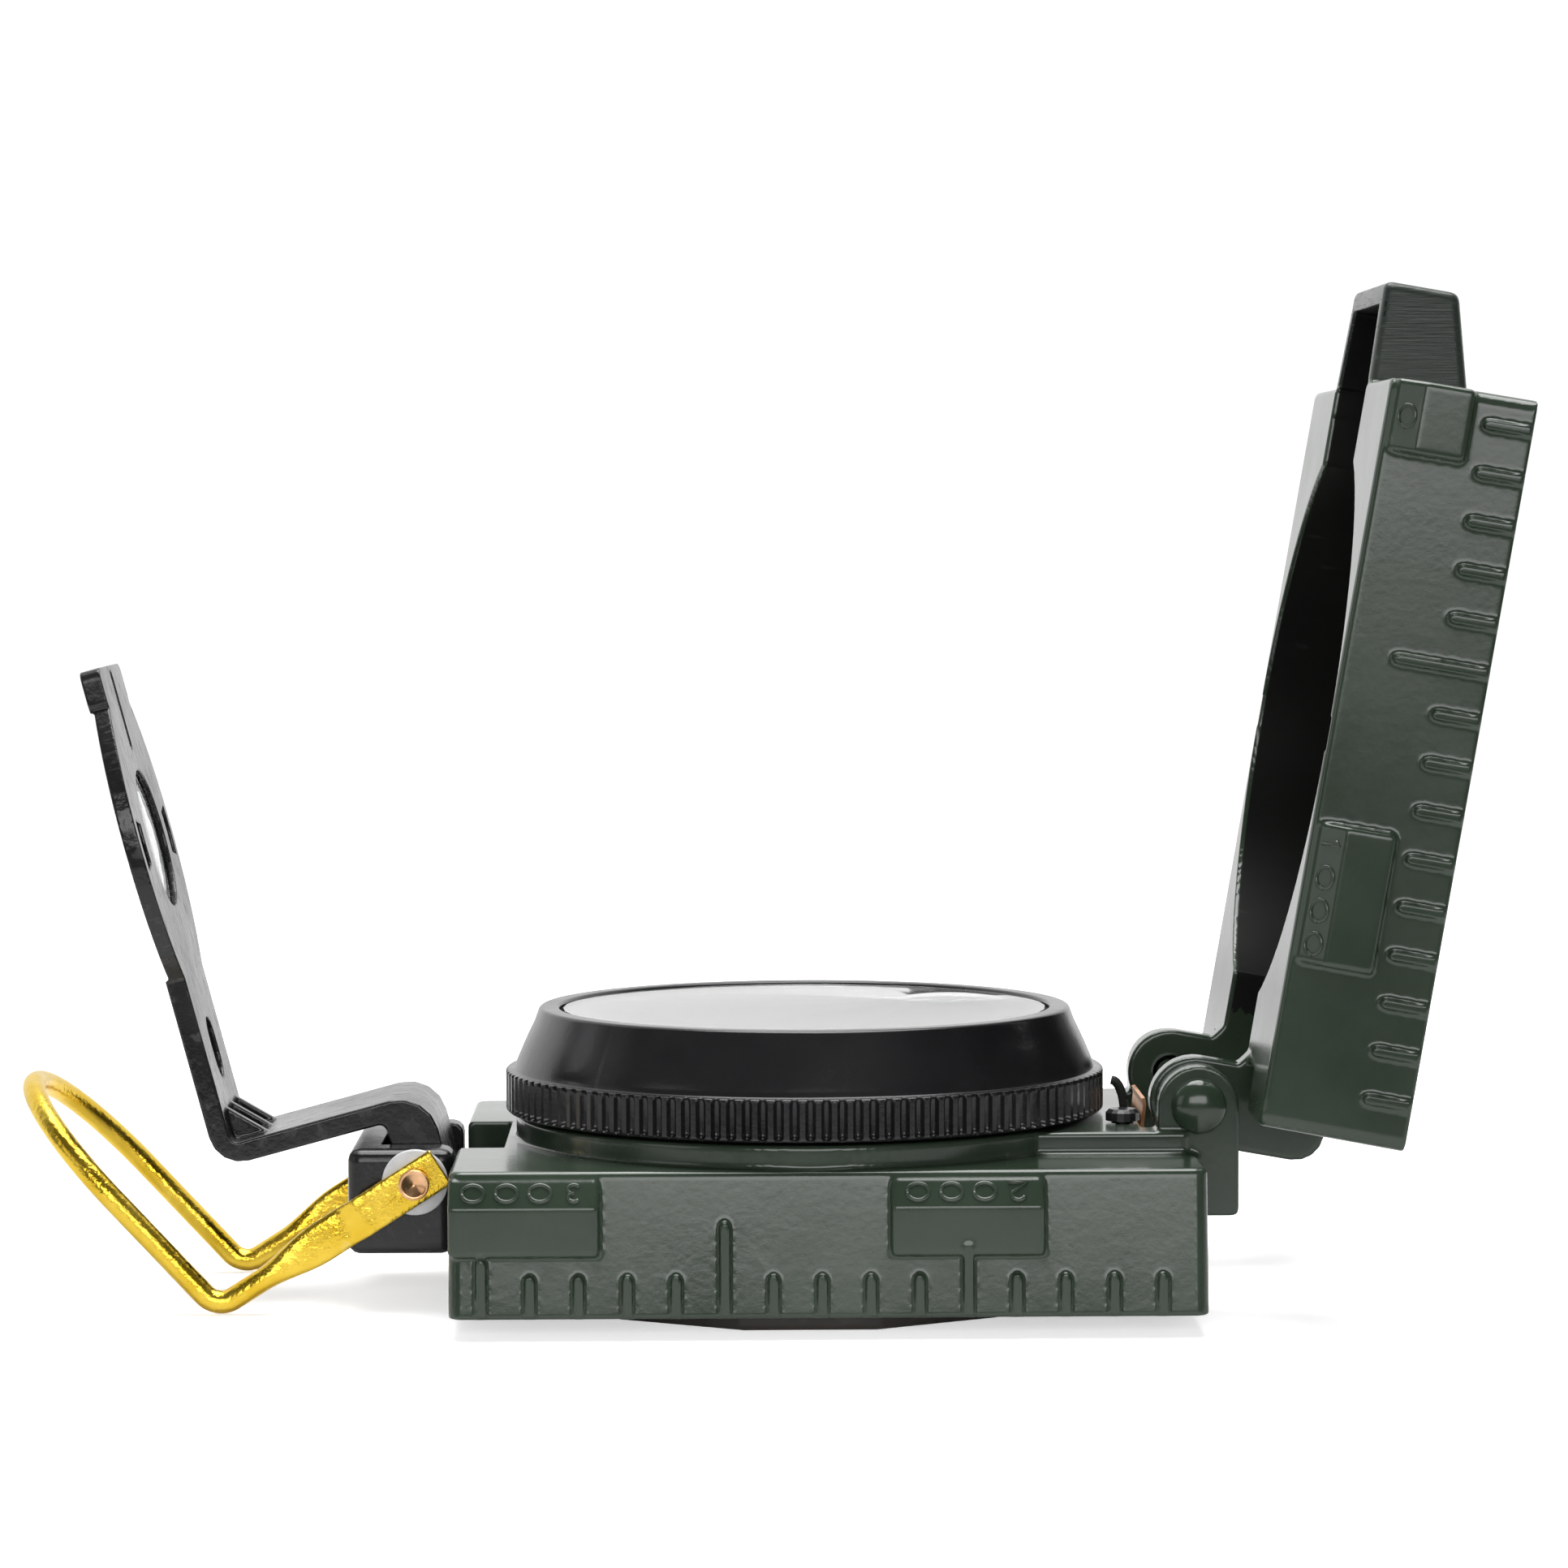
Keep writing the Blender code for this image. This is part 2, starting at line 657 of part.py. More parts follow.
def front_block():
    rear = CASE_FRONT - GAP
    block = soften(box(
        "front_block", (BLOCK_FRONT, -BLOCK_HALF_WIDTH, BLOCK_BOTTOM), (rear, BLOCK_HALF_WIDTH, BLOCK_TOP)),
        0.0010, 3)
    cut(
        block,
        box(
            "block_slot", (-0.0364, -SLOT_HALF_WIDTH, 0.0072), (CASE_FRONT + 0.01, SLOT_HALF_WIDTH, 0.03)),
        rod("block_pin_bore", PIN_RADIUS + GAP, -0.02, 0.02, "Y", at=(PIVOT_X, 0, PIVOT_Z), steps=24),
        merge("block_dowel_holes", [
            rod(
                "hole", BLOCK_PIN_RADIUS + GAP, rear - 0.0033, rear + 0.002, "X",
                at=(0, y, BLOCK_PIN_Z), steps=12)
            for y in (-BLOCK_PIN_Y, BLOCK_PIN_Y)]),
    )
    return paint(block, BLACK)


def front_block_pins():
    for side, y in (("near", -BLOCK_PIN_Y), ("far", BLOCK_PIN_Y)):
        pin = rod(
            "front_block_pin_" + side, BLOCK_PIN_RADIUS, CASE_FRONT - 0.0033, CASE_FRONT + 0.0033, "X",
            at=(0, y, BLOCK_PIN_Z), steps=12)
        paint(pin, STEEL)


def bracket_pin():
    """The cross pin of the bracket and the thumb ring, with a dimpled head at each end."""
    lug_face = RING_LUG_Y + RING_LUG_THICKNESS / 2 + GAP
    head = lug_face + 0.0007
    half = [
        (0.0, head - 0.0004),
        (PIN_HEAD_RADIUS - 0.0002, head),
        (PIN_HEAD_RADIUS, head - 0.0001),
        (PIN_HEAD_RADIUS, lug_face),
        (PIN_RADIUS, lug_face),
    ]
    mirrored = [(radius, -height) for radius, height in reversed(half)]
    pin = turned("bracket_pin", half + mirrored, "Y", (PIVOT_X, 0, PIVOT_Z), closed=False, steps=16)
    return paint(pin, COPPER)


def nylon_washers():
    inner_face = BLOCK_HALF_WIDTH + GAP
    for name, side in (("near", -1), ("far", 1)):
        low, high = sorted((side * inner_face, side * (inner_face + WASHER_THICKNESS)))
        washer = turned("nylon_washer_" + name, [
            (PIN_RADIUS + GAP, high),
            (WASHER_RADIUS, high),
            (WASHER_RADIUS, low),
            (PIN_RADIUS + GAP, low),
        ], "Y", (PIVOT_X, 0, PIVOT_Z), steps=16)
        paint(washer, WHITE)


def hinge_pin(name, side):
    start = ARM_OUTER - 0.0024
    face = EAR_OUTER + 0.0001
    dome = arc((0, 0), 1, 90, 0, 6)
    profile = [(x * HINGE_HEAD_RADIUS, face + 0.0003 + z * (HINGE_HEAD_HEIGHT - 0.0003)) for x, z in dome]
    profile += [(HINGE_HEAD_RADIUS, face), (HINGE_PIN_RADIUS, face), (HINGE_PIN_RADIUS, start), (0, start)]
    pin = turned(name, profile, "Y", closed=False, steps=20)
    if side < 0:
        pin.data.transform(Matrix.Rotation(math.pi, 4, "Z"))
    pin.data.transform(Matrix.Translation((HINGE_X, 0, HINGE_Z)))
    return paint(pin, OLIVE)


def hinge_friction_spring():
    """A bronze leaf against the pocket wall."""
    wall = HINGE_X - POCKET_DEPTH
    line = [(wall + 0.00045, 0.0068), (wall + 0.00045, 0.0130)]
    line += arc((wall - 0.0025, 0.0163), 0.0034, 5, 16, 3)
    bm = bmesh.new()
    rows = []
    for y in (-FRICTION_SPRING_HALF_WIDTH, FRICTION_SPRING_HALF_WIDTH):
        rows.append([bm.verts.new((x, y, z)) for x, z in line])
    for index in range(len(line) - 1):
        bm.faces.new((rows[0][index], rows[1][index], rows[1][index + 1], rows[0][index + 1]))
    leaf = add_mesh("hinge_friction_spring", bm)
    solid = leaf.modifiers.new("thickness", "SOLIDIFY")
    solid.thickness = FRICTION_SPRING_THICKNESS
    solid.offset = 0
    leaf = bake(leaf)
    cut(leaf, rod(
        "leaf_hole", FRICTION_RIVET_RADIUS + GAP, wall - 0.001, wall + 0.002, "X",
        at=(0, 0, FRICTION_RIVET_Z), steps=12))
    return paint(leaf, BRONZE)


def friction_spring_rivet():
    wall = HINGE_X - POCKET_DEPTH
    rivet = turned("friction_spring_rivet", [
        (0, wall + 0.0016),
        (0.0010, wall + 0.0014),
        (0.0013, wall + 0.0009),
        (FRICTION_RIVET_RADIUS, wall + 0.0009),
        (FRICTION_RIVET_RADIUS, wall - 0.0022),
        (0, wall - 0.0022),
    ], "X", (0, 0, FRICTION_RIVET_Z), closed=False, steps=16)
    return paint(rivet, BRONZE)


def click_spring_screw():
    seat = COLLAR_TOP + 0.0001
    screw = turned("click_spring_screw", [
        (0, seat + 0.0010),
        (CLICK_SCREW_HEAD - 0.0003, seat + 0.0010),
        (CLICK_SCREW_HEAD, seat + 0.0007),
        (CLICK_SCREW_HEAD, seat),
        (CLICK_SCREW_RADIUS, seat),
        (CLICK_SCREW_RADIUS, COLLAR_TOP - 0.0026),
        (0, COLLAR_TOP - 0.0026),
    ], at=(*CLICK_SCREW, 0), closed=False, steps=16)
    return paint(screw, BLACK)


def wire(name, points, radius, bevel_resolution=2, group=PARTS, parent=None):
    """A round wire through a list of points."""
    curve = bpy.data.curves.new(name, "CURVE")
    curve.dimensions = "3D"
    curve.bevel_depth = radius
    curve.bevel_resolution = bevel_resolution
    curve.use_fill_caps = True
    spline = curve.splines.new("POLY")
    spline.points.add(len(points) - 1)
    for point, place in zip(spline.points, points):
        point.co = (*place, 1)
    obj = bpy.data.objects.new(name, curve)
    group.objects.link(obj)
    obj = bake(obj)
    obj.parent = parent
    return obj


def click_spring():
    """A bent wire that rises from the platform and leans towards the knurled band."""
    x, y = CLICK_SPRING_FOOT
    start = COLLAR_TOP + 0.0004
    points = [(x, y, COLLAR_TOP - 0.0016), (x, y, start)]
    steps = 8
    for step in range(1, steps + 1):
        turn = math.pi / 2 * step / steps
        points.append((
            x - CLICK_SPRING_LEAN * (1 - math.cos(turn)),
            y,
            start + (CLICK_SPRING_TOP - start) * math.sin(turn)))
    return paint(wire("bezel_click_spring", points, CLICK_WIRE_RADIUS), DARK_STEEL)


# --------------------------------------------------------------------- capsule


def capsule_housing():
    floor = CAPSULE_BOTTOM + 0.0010
    cup = turned("capsule_housing", [
        (0, floor),
        (CAPSULE_INNER, floor),
        (CAPSULE_INNER, CAPSULE_STEP_Z),
        (CAPSULE_STEP_RADIUS, CAPSULE_STEP_Z),
        (CAPSULE_STEP_RADIUS, CAPSULE_TOP),
        (CAPSULE_RADIUS, CAPSULE_TOP),
        (CAPSULE_RADIUS, CAPSULE_BOTTOM),
        (0, CAPSULE_BOTTOM),
    ], closed=False, steps=ROUND_STEPS)
    return paint(cup, BRASS)


def flat_ring(name, inner, outer, low, high, finished, steps=40):
    ring = turned(name, [(inner, high), (outer, high), (outer, low), (inner, low)], steps=steps)
    return paint(ring, finished)


def capsule_stack():
    seat = CAPSULE_STEP_RADIUS - GAP
    flat_ring("capsule_gasket", 0.0188, seat, CAPSULE_STEP_Z + GAP, CAPSULE_STEP_Z + 0.0009, RUBBER)
    glass_low = CAPSULE_STEP_Z + 0.0012
    glass_high = glass_low + 0.0010
    paint(rod("capsule_glass", seat, glass_low, glass_high, "Z", steps=40), GLASS)
    flat_ring("capsule_retaining_ring", 0.0188, seat, glass_high + GAP, glass_high + 0.0009, STEEL)


def pivot_post():
    floor = CAPSULE_BOTTOM + 0.0010 + GAP
    tip = DIAL_BOTTOM - 0.0001
    post = turned("pivot_post", [
        (0, tip),
        (0.0004, tip - 0.0012),
        (0.0008, tip - 0.0026),
        (0.0008, floor + 0.0008),
        (0.0030, floor + 0.0008),
        (0.0030, floor),
        (0, floor),
    ], closed=False, steps=16)
    return paint(post, STEEL)


def dial_parts():
    hub = 0.0012
    flat_ring("compass_dial", hub + GAP, DIAL_RADIUS, DIAL_BOTTOM, DIAL_BOTTOM + 0.0005, WHITE)
    magnet_top = DIAL_BOTTOM - GAP
    magnet = box("dial_magnet", (-0.0110, -0.0020, magnet_top - 0.0012), (0.0110, 0.0020, magnet_top))
    cut(magnet, rod("magnet_hole", hub + GAP, 0, 0.03, "Z", steps=12))
    paint(magnet, STEEL)
    bearing_low = DIAL_BOTTOM - 0.0017
    cap_low = DIAL_BOTTOM + 0.0005 + GAP
    bearing = turned("jewel_bearing", [
        (0, cap_low + 0.0006),
        (0.0020, cap_low + 0.0006),
        (0.0024, cap_low),
        (hub, cap_low),
        (hub, bearing_low),
        (0.0009, bearing_low),
        (0.0007, bearing_low + 0.0010),
        (0, cap_low - 0.0002),
    ], closed=False, steps=16)
    paint(bearing, BRASS)


# ----------------------------------------------------------------------- bezel


def bezel_ring():
    inner = NECK_RADIUS + GAP
    groove = inner + GROOVE_DEPTH
    wall = BEZEL_GLASS_RADIUS + GAP
    root = BEZEL_BAND_RADIUS - KNURL_DEPTH
    ring = turned("bezel_ring", [
        (BEZEL_WINDOW_RADIUS, BEZEL_TOP),
        (BEZEL_TOP_RADIUS - 0.0003, BEZEL_TOP),
        (BEZEL_TOP_RADIUS, BEZEL_TOP - 0.0003),
        (BEZEL_FOOT_RADIUS, BEZEL_BAND_TOP + 0.0002),
        (root - 0.0002, BEZEL_BAND_TOP - 0.0001),
        (root - 0.0002, BEZEL_BOTTOM + 0.0002),
        (root - 0.0004, BEZEL_BOTTOM),
        (inner, BEZEL_BOTTOM),
        (inner, GROOVE_LOW),
        (groove, GROOVE_LOW),
        (groove, GROOVE_HIGH),
        (inner, GROOVE_HIGH),
        (inner, NECK_TOP + GAP),
        (wall, NECK_TOP + 2 * GAP),
        (wall, BEZEL_GLASS_TOP + GAP),
        (BEZEL_WINDOW_RADIUS, BEZEL_GLASS_TOP + GAP),
    ], steps=ROUND_STEPS)
    outline = []
    for tooth in range(KNURL_TEETH):
        for share, radius in ((0.0, root), (0.5, BEZEL_BAND_RADIUS)):
            angle = 2 * math.pi * (tooth + share) / KNURL_TEETH
            outline.append((radius * math.cos(angle), radius * math.sin(angle)))
    band = sheet(
        "knurled_band", outline, "XY", BEZEL_BOTTOM + 0.0003, BEZEL_BAND_TOP - 0.0003,
        holes=[circle((0, 0), root - 0.0012, ROUND_STEPS)])
    return paint(weld(ring, band), BLACK)


def bezel_glass():
    """A disc under the bezel's lip, with a raised middle and a magnifier that fill the window."""
    glass = rod(
        "bezel_glass", BEZEL_GLASS_RADIUS, BEZEL_GLASS_BOTTOM, BEZEL_GLASS_TOP, "Z", steps=40)
    crown = rod(
        "glass_crown", BEZEL_WINDOW_RADIUS - GAP, BEZEL_GLASS_TOP - 0.0003, BEZEL_GLASS_CROWN, "Z", steps=40)
    sphere = (MAGNIFIER_RADIUS ** 2 + MAGNIFIER_RISE ** 2) / (2 * MAGNIFIER_RISE)
    centre = BEZEL_GLASS_CROWN + MAGNIFIER_RISE - sphere
    rows = 4
    profile = []
    for step in range(rows + 1):
        radius = MAGNIFIER_RADIUS * step / rows
        profile.append((radius, centre + math.sqrt(sphere ** 2 - radius ** 2)))
    profile += [(MAGNIFIER_RADIUS, BEZEL_GLASS_CROWN - 0.0005), (0, BEZEL_GLASS_CROWN - 0.0005)]
    bump = turned("magnifier", profile, at=(*MAGNIFIER, 0), closed=False, steps=32)
    return paint(weld(glass, crown, bump), GLASS)


def bezel_rings():
    flat_ring(
        "bezel_glass_retainer", 0.0211, BEZEL_GLASS_RADIUS,
        BEZEL_GLASS_BOTTOM - 0.0009, BEZEL_GLASS_BOTTOM - GAP, BLACK)
    inner = NECK_RADIUS - GROOVE_DEPTH + GAP
    outer = NECK_RADIUS + GROOVE_DEPTH
    outline = arc((0, 0), outer, 12, 348, 40) + arc((0, 0), inner, 348, 12, 40)
    snap = sheet("bezel_snap_ring", outline, "XY", GROOVE_LOW + GAP, GROOVE_HIGH - GAP)
    paint(snap, STEEL)


# ------------------------------------------------------------------------- lid


def lid_cover(hinge):
    shell = ruler_shell("lid_cover", TONGUE_SHOULDER, LID_RIB, LID_RIB_HEIGHTS, LID_BOSSES)
    stand = Matrix.Translation((LID_OUTER, 0, 0)) @ Matrix.Rotation(math.radians(-90), 4, "Y")
    lid = settle(shell, stand)
    lid.parent = hinge
    tongue = wedge(
        "tongue", TONGUE_SHOULDER - 0.0030, TONGUE_TIP,
        (LID_RIM + 0.0001, TONGUE_FOOT_DEPTH + 0.0006, -TONGUE_FOOT_HALF_WIDTH, TONGUE_FOOT_HALF_WIDTH),
        (LID_RIM + 0.0001, TONGUE_TIP_DEPTH, -TONGUE_TIP_HALF_WIDTH, TONGUE_TIP_HALF_WIDTH))
    weld(lid, soften(tongue, 0.0006, 2))
    heel = -ARM_RADIUS + 0.0002
    arm_outline = rounded([
        (0, ARM_RADIUS, 0),
        *[(h, s, 0) for h, s in arc((0, 0), ARM_RADIUS, 100, 250, 12)],
        (ARM_HEEL, heel, 0.0025),
        (ARM_HEEL, 0.0060, 0),
        (LID_RIM + 0.0005, 0.0060, 0),
        (LID_RIM + 0.0001, 0.0050, 0),
        (0.0032, ARM_RADIUS, 0),
    ])
    for side_name, side in (("near", -1), ("far", 1)):
        low, high = sorted((side * (ARM_OUTER - 0.0010), side * (EAR_OUTER + 0.0004)))
        cut(lid, box("ear_notch_" + side_name, (-0.001, low, -0.001), (EAR_NOTCH_DEPTH, high, EAR_NOTCH_LENGTH)))
        low, high = sorted((side * 0.0085, side * ARM_OUTER))
        weld(lid, sheet("arm_" + side_name, arm_outline, "XZ", low, high))
    inner = LID_OUTER - LID_PLATE
    channel = wedge(
        "lid_channel", -0.0100, TONGUE_SHOULDER,
        (-0.0100, inner, -LID_CHANNEL_HINGE, LID_CHANNEL_HINGE),
        (-0.0100, inner, -LID_CHANNEL_FRONT, LID_CHANNEL_FRONT))
    tongue_hollow = wedge(
        "tongue_hollow", TONGUE_SHOULDER - 0.0030, TONGUE_TIP - TONGUE_END_WALL,
        (0, TONGUE_FOOT_DEPTH - TONGUE_WALL + 0.0006, -LID_CHANNEL_FRONT - 0.0001, LID_CHANNEL_FRONT + 0.0001),
        (0, TONGUE_TIP_DEPTH - TONGUE_WALL, -0.0084, 0.0084))
    cut(
        lid,
        rod(
            "lid_cavity", LID_CAVITY_RADIUS, 0, inner, "X", at=(0, 0, HINGE_X), steps=ROUND_STEPS),
        channel,
        tongue_hollow,
        box(
            "sight_window",
            (inner - 0.001, -WINDOW_HALF_WIDTH, WINDOW_START), (LID_OUTER + 0.001, WINDOW_HALF_WIDTH, WINDOW_END)),
        rod("lid_hinge_hole", HINGE_PIN_RADIUS + GAP, -0.02, 0.02, "Y", steps=SMALL_STEPS),
    )
    return paint(lid, OLIVE)


def sight_wire(hinge):
    """The hair line down the middle of the window, held by an anchor at each end."""
    depth = LID_OUTER - LID_PLATE / 2
    start = WINDOW_START + GAP + ANCHOR_LENGTH
    end = WINDOW_END - GAP - ANCHOR_LENGTH
    line = wire("sight_wire", [(depth, 0, start + GAP), (depth, 0, end - GAP)], SIGHT_WIRE_RADIUS, parent=hinge)
    paint(line, DARK_STEEL)
    for name, low in (("low", WINDOW_START + GAP), ("high", end)):
        anchor = box(
            "sight_wire_anchor_" + name, (depth - 0.0005, -WINDOW_HALF_WIDTH + GAP, low),
            (depth + 0.0005, WINDOW_HALF_WIDTH - GAP, low + ANCHOR_LENGTH), parent=hinge)
        paint(anchor, DARK_STEEL)


# ---------------------------------------------------------------- lens bracket


def bracket_side():
    """The bracket seen from the side: a leg, an arm, and a panel that is thinner round the lens."""
    pad_outer = PANEL_INNER - PAD_THICKNESS
    low = LENS_HEIGHT - LENS_LEAF_HALF_CHORD + 0.0002
    high = LENS_HEIGHT + LENS_LEAF_HALF_CHORD - 0.0002
    return rounded([
        (LEG_FACE, 0, 0),
        (LEG_FACE, ARM_HIGH, 0.0034),
        (PANEL_INNER, ARM_HIGH, 0.0006),
        (PANEL_INNER, PANEL_TOP + 0.001, 0),
        (pad_outer, PANEL_TOP + 0.001, 0),
        (pad_outer, high, 0),
        (PANEL_OUTER, high, 0),
        (PANEL_OUTER, low, 0),
        (pad_outer, low, 0),
        (pad_outer, ARM_LOW, 0.0028),
        (LEG_BACK, ARM_LOW, 0.0006),
        (LEG_BACK, 0, 0),
        *[(a, b, 0) for a, b in arc((0, 0), LEG_FACE, 216.4, 350, 12)],
    ])


def bracket_front():
    """The bracket seen from the front, and the holes through its panel."""
    bulge = math.degrees(math.asin(LENS_LEAF_HALF_CHORD / LENS_LEAF_RADIUS))
    middle = BRACKET_HALF_WIDTH - math.sqrt(LENS_LEAF_RADIUS ** 2 - LENS_LEAF_HALF_CHORD ** 2)
    shoulder = LENS_HEIGHT + LENS_LEAF_HALF_CHORD + 0.0005
    outline = [(-BRACKET_HALF_WIDTH, -0.006), (BRACKET_HALF_WIDTH, -0.006)]
    outline += arc((middle, LENS_HEIGHT), LENS_LEAF_RADIUS, -bulge, bulge, 16)
    outline += rounded([
        (PANEL_TOP_HALF_WIDTH, shoulder, 0),
        (PANEL_TOP_HALF_WIDTH, PANEL_TOP, 0.0009),
        (-PANEL_TOP_HALF_WIDTH, PANEL_TOP, 0.0009),
        (-PANEL_TOP_HALF_WIDTH, shoulder, 0),
    ])
    outline += arc((-middle, LENS_HEIGHT), LENS_LEAF_RADIUS, 180 - bulge, 180 + bulge, 16)
    centre = (0, LENS_HEIGHT)
    holes = [
        circle(centre, LENS_LIP_RADIUS, 32),
        slot((0, LENS_HEIGHT + 0.0115), SIGHT_SLIT_HALF_WIDTH, 0.0036, 4),
        slot((0, 0.0147), 0.0020, 0.00275, 8),
    ]
    for turn in (0, 180):
        outer = arc(centre, SIDE_SLOT_OUTER, turn - 12, turn + 12, 6)
        inner = arc(centre, SIDE_SLOT_INNER, turn + 12, turn - 12, 6)
        holes.append(outer + inner)
    return outline, holes


def lens_bracket(hinge):
    bracket = sheet("lens_bracket", bracket_side(), "XZ", -0.014, 0.014, parent=hinge)
    outline, holes = bracket_front()
    combine(bracket, sheet("bracket_outline", outline, "YZ", -0.03, 0.01, holes), "INTERSECT")
    gussets = []
    for y in (-0.0042, 0, 0.0042):
        corner = (PANEL_INNER - 0.0003, ARM_HIGH - 0.0003)
        outline = [corner, (corner[0] + 0.0036, corner[1]), (corner[0], corner[1] + 0.0036)]
        gussets.append(sheet("gusset", outline, "XZ", y - 0.0005, y + 0.0005))
    weld(bracket, merge("gussets", gussets))
    cut(
        bracket,
        rod(
            "lens_pocket", LENS_RADIUS + GAP, PANEL_OUTER - 0.005, PANEL_INNER - 0.0004, "X",
            at=(0, 0, LENS_HEIGHT), steps=32),
        rod("bracket_bore", PIN_RADIUS + GAP, -0.02, 0.02, "Y", steps=24),
        box("leg_hollow", (-0.0040, -0.0050, 0.0030), (0.0006, 0.0050, 0.0046)),
    )
    return paint(bracket, BLACK)


def sighting_lens(hinge):
    edge = 0.0002
    crown = 0.00035
    middle = PANEL_INNER - 0.0004 - GAP - edge
    rows = 3
    front = [
        (LENS_RADIUS * step / rows, middle + edge + crown * (1 - (step / rows) ** 2))
        for step in range(rows + 1)]
    back = [(radius, 2 * middle - depth) for radius, depth in reversed(front)]
    lens = turned(
        "sighting_lens", front + back, "X", (0, 0, LENS_HEIGHT), closed=False, parent=hinge, steps=32)
    paint(lens, GLASS)
    seat = middle - edge - GAP
    ring = turned("lens_ring", [
        (LENS_RADIUS - 0.0008, seat),
        (LENS_RADIUS, seat),
        (LENS_RADIUS, seat - 0.00035),
        (LENS_RADIUS - 0.0008, seat - 0.00035),
    ], "X", (0, 0, LENS_HEIGHT), parent=hinge, steps=32)
    paint(ring, BLACK)


# ------------------------------------------------------------------ thumb ring


def blend(share):
    """An S curve from 0 to 1."""
    share = min(max(share, 0.0), 1.0)
    return share * share * (3 - 2 * share)


def ring_stations():
    """Centre, forward direction, flat direction and half sizes along one arm, from lug to loop end."""
    start = Vector((PIVOT_X, 0, PIVOT_Z))
    bend = Vector((RING_BEND[0], 0, RING_BEND[1]))
    end = Vector((RING_END[0], 0, RING_END[1]))
    first = (bend - start).normalized()
    second = (end - bend).normalized()
    across = Vector((0, 1, 0))
    turn = first.angle(second)
    trim = RING_BEND_RADIUS * math.tan(turn / 2)
    arm_end = (bend - start).length - trim
    stations = []
    for along in (-RING_LUG_REACH, 0, 0.0025, RING_LUG_LENGTH, 0.0060, 0.0068, RING_JOGGLE_END,
                  0.0095, RING_FLAT_END, arm_end):
        inset = blend((along - RING_LUG_LENGTH) / (RING_JOGGLE_END - RING_LUG_LENGTH))
        y = -RING_LUG_Y + inset * (RING_LUG_Y - RING_HALF_WIDTH)
        round_off = blend((along - RING_LUG_LENGTH) / (RING_FLAT_END - RING_LUG_LENGTH))
        wide = RING_LUG_HALF_WIDTH + round_off * (RING_WIRE_RADIUS - RING_LUG_HALF_WIDTH)
        thick = RING_LUG_THICKNESS / 2 + round_off * (RING_WIRE_RADIUS - RING_LUG_THICKNESS / 2)
        centre = start + first * along + across * y
        stations.append((centre, first.copy(), first.cross(across), wide, thick))
    for step in range(1, 7):
        angle = turn * step / 6
        forward = Matrix.Rotation(angle, 3, across) @ first
        chord = RING_BEND_RADIUS * 2 * math.sin(angle / 2)
        direction = Matrix.Rotation(angle / 2, 3, across) @ first
        centre = start + first * arm_end + direction * chord - across * RING_HALF_WIDTH
        stations.append((centre, forward, forward.cross(across), RING_WIRE_RADIUS, RING_WIRE_RADIUS))
    loop_start = (end - bend).length - RING_HALF_WIDTH
    for step in range(0, 11):
        angle = math.pi / 2 * step / 10
        centre = bend + second * (loop_start + RING_HALF_WIDTH * math.sin(angle))
        centre = centre - across * RING_HALF_WIDTH * math.cos(angle)
        forward = second * math.cos(angle) + across * math.sin(angle)
        stations.append((centre, forward, second.cross(across), RING_WIRE_RADIUS, RING_WIRE_RADIUS))
    return stations


def ring_section(station, sides=16):
    """Points round one station: a rounded bar on the lug and a circle on the wire."""
    centre, forward, flat, wide, thick = station
    thin = forward.cross(flat)
    power = 0.35 + 0.65 * thick / wide
    points = []
    for side in range(sides):
        angle = 2 * math.pi * (side + 0.5) / sides
        u = math.copysign(abs(math.cos(angle)) ** power, math.cos(angle)) * wide
        v = math.copysign(abs(math.sin(angle)) ** power, math.sin(angle)) * thick
        points.append(centre + flat * u + thin * v)
    return points


def thumb_ring():
    near = [ring_section(station) for station in ring_stations()]
    mirror = Matrix.Diagonal((1, -1, 1))
    far = [[mirror @ point for point in section] for section in reversed(near[:-1])]
    bm = bmesh.new()
    loops = [[bm.verts.new(point) for point in section] for section in near + far]
    for first, second in zip(loops, loops[1:]):
        for side in range(len(first)):
            after = (side + 1) % len(first)
            bm.faces.new((first[side], first[after], second[after], second[side]))
    bm.faces.new(loops[0])
    bm.faces.new(loops[-1])
    ring = add_mesh("thumb_ring", bm)
    cut(ring, rod("ring_bore", PIN_RADIUS + GAP, -0.02, 0.02, "Y", at=(PIVOT_X, 0, PIVOT_Z), steps=12))
    return paint(ring, BRASS)


OLIVE = finish("olive_paint", (0.060, 0.075, 0.055), 0.45, 0.1)
COVER_BROWN = finish("cover_brown", (0.07, 0.065, 0.06), 0.5, 0.0)
BLACK = finish("black_plastic", (0.02, 0.02, 0.021), 0.4, 0.0)
WHITE = finish("white_nylon", (0.8, 0.8, 0.8), 0.5, 0.0)
STEEL = finish("steel", (0.6, 0.6, 0.6), 0.3, 1.0)
DARK_STEEL = finish("dark_steel", (0.05, 0.06, 0.05), 0.35, 0.8)
BRASS = finish("brass", (0.75, 0.55, 0.10), 0.3, 1.0)
COPPER = finish("copper", (0.75, 0.42, 0.22), 0.3, 1.0)
BRONZE = finish("bronze", (0.70, 0.35, 0.15), 0.35, 1.0)
RUBBER = finish("rubber", (0.02, 0.02, 0.02), 0.8, 0.0)
GLASS = glass_finish("glass", (0.9, 0.93, 0.92))


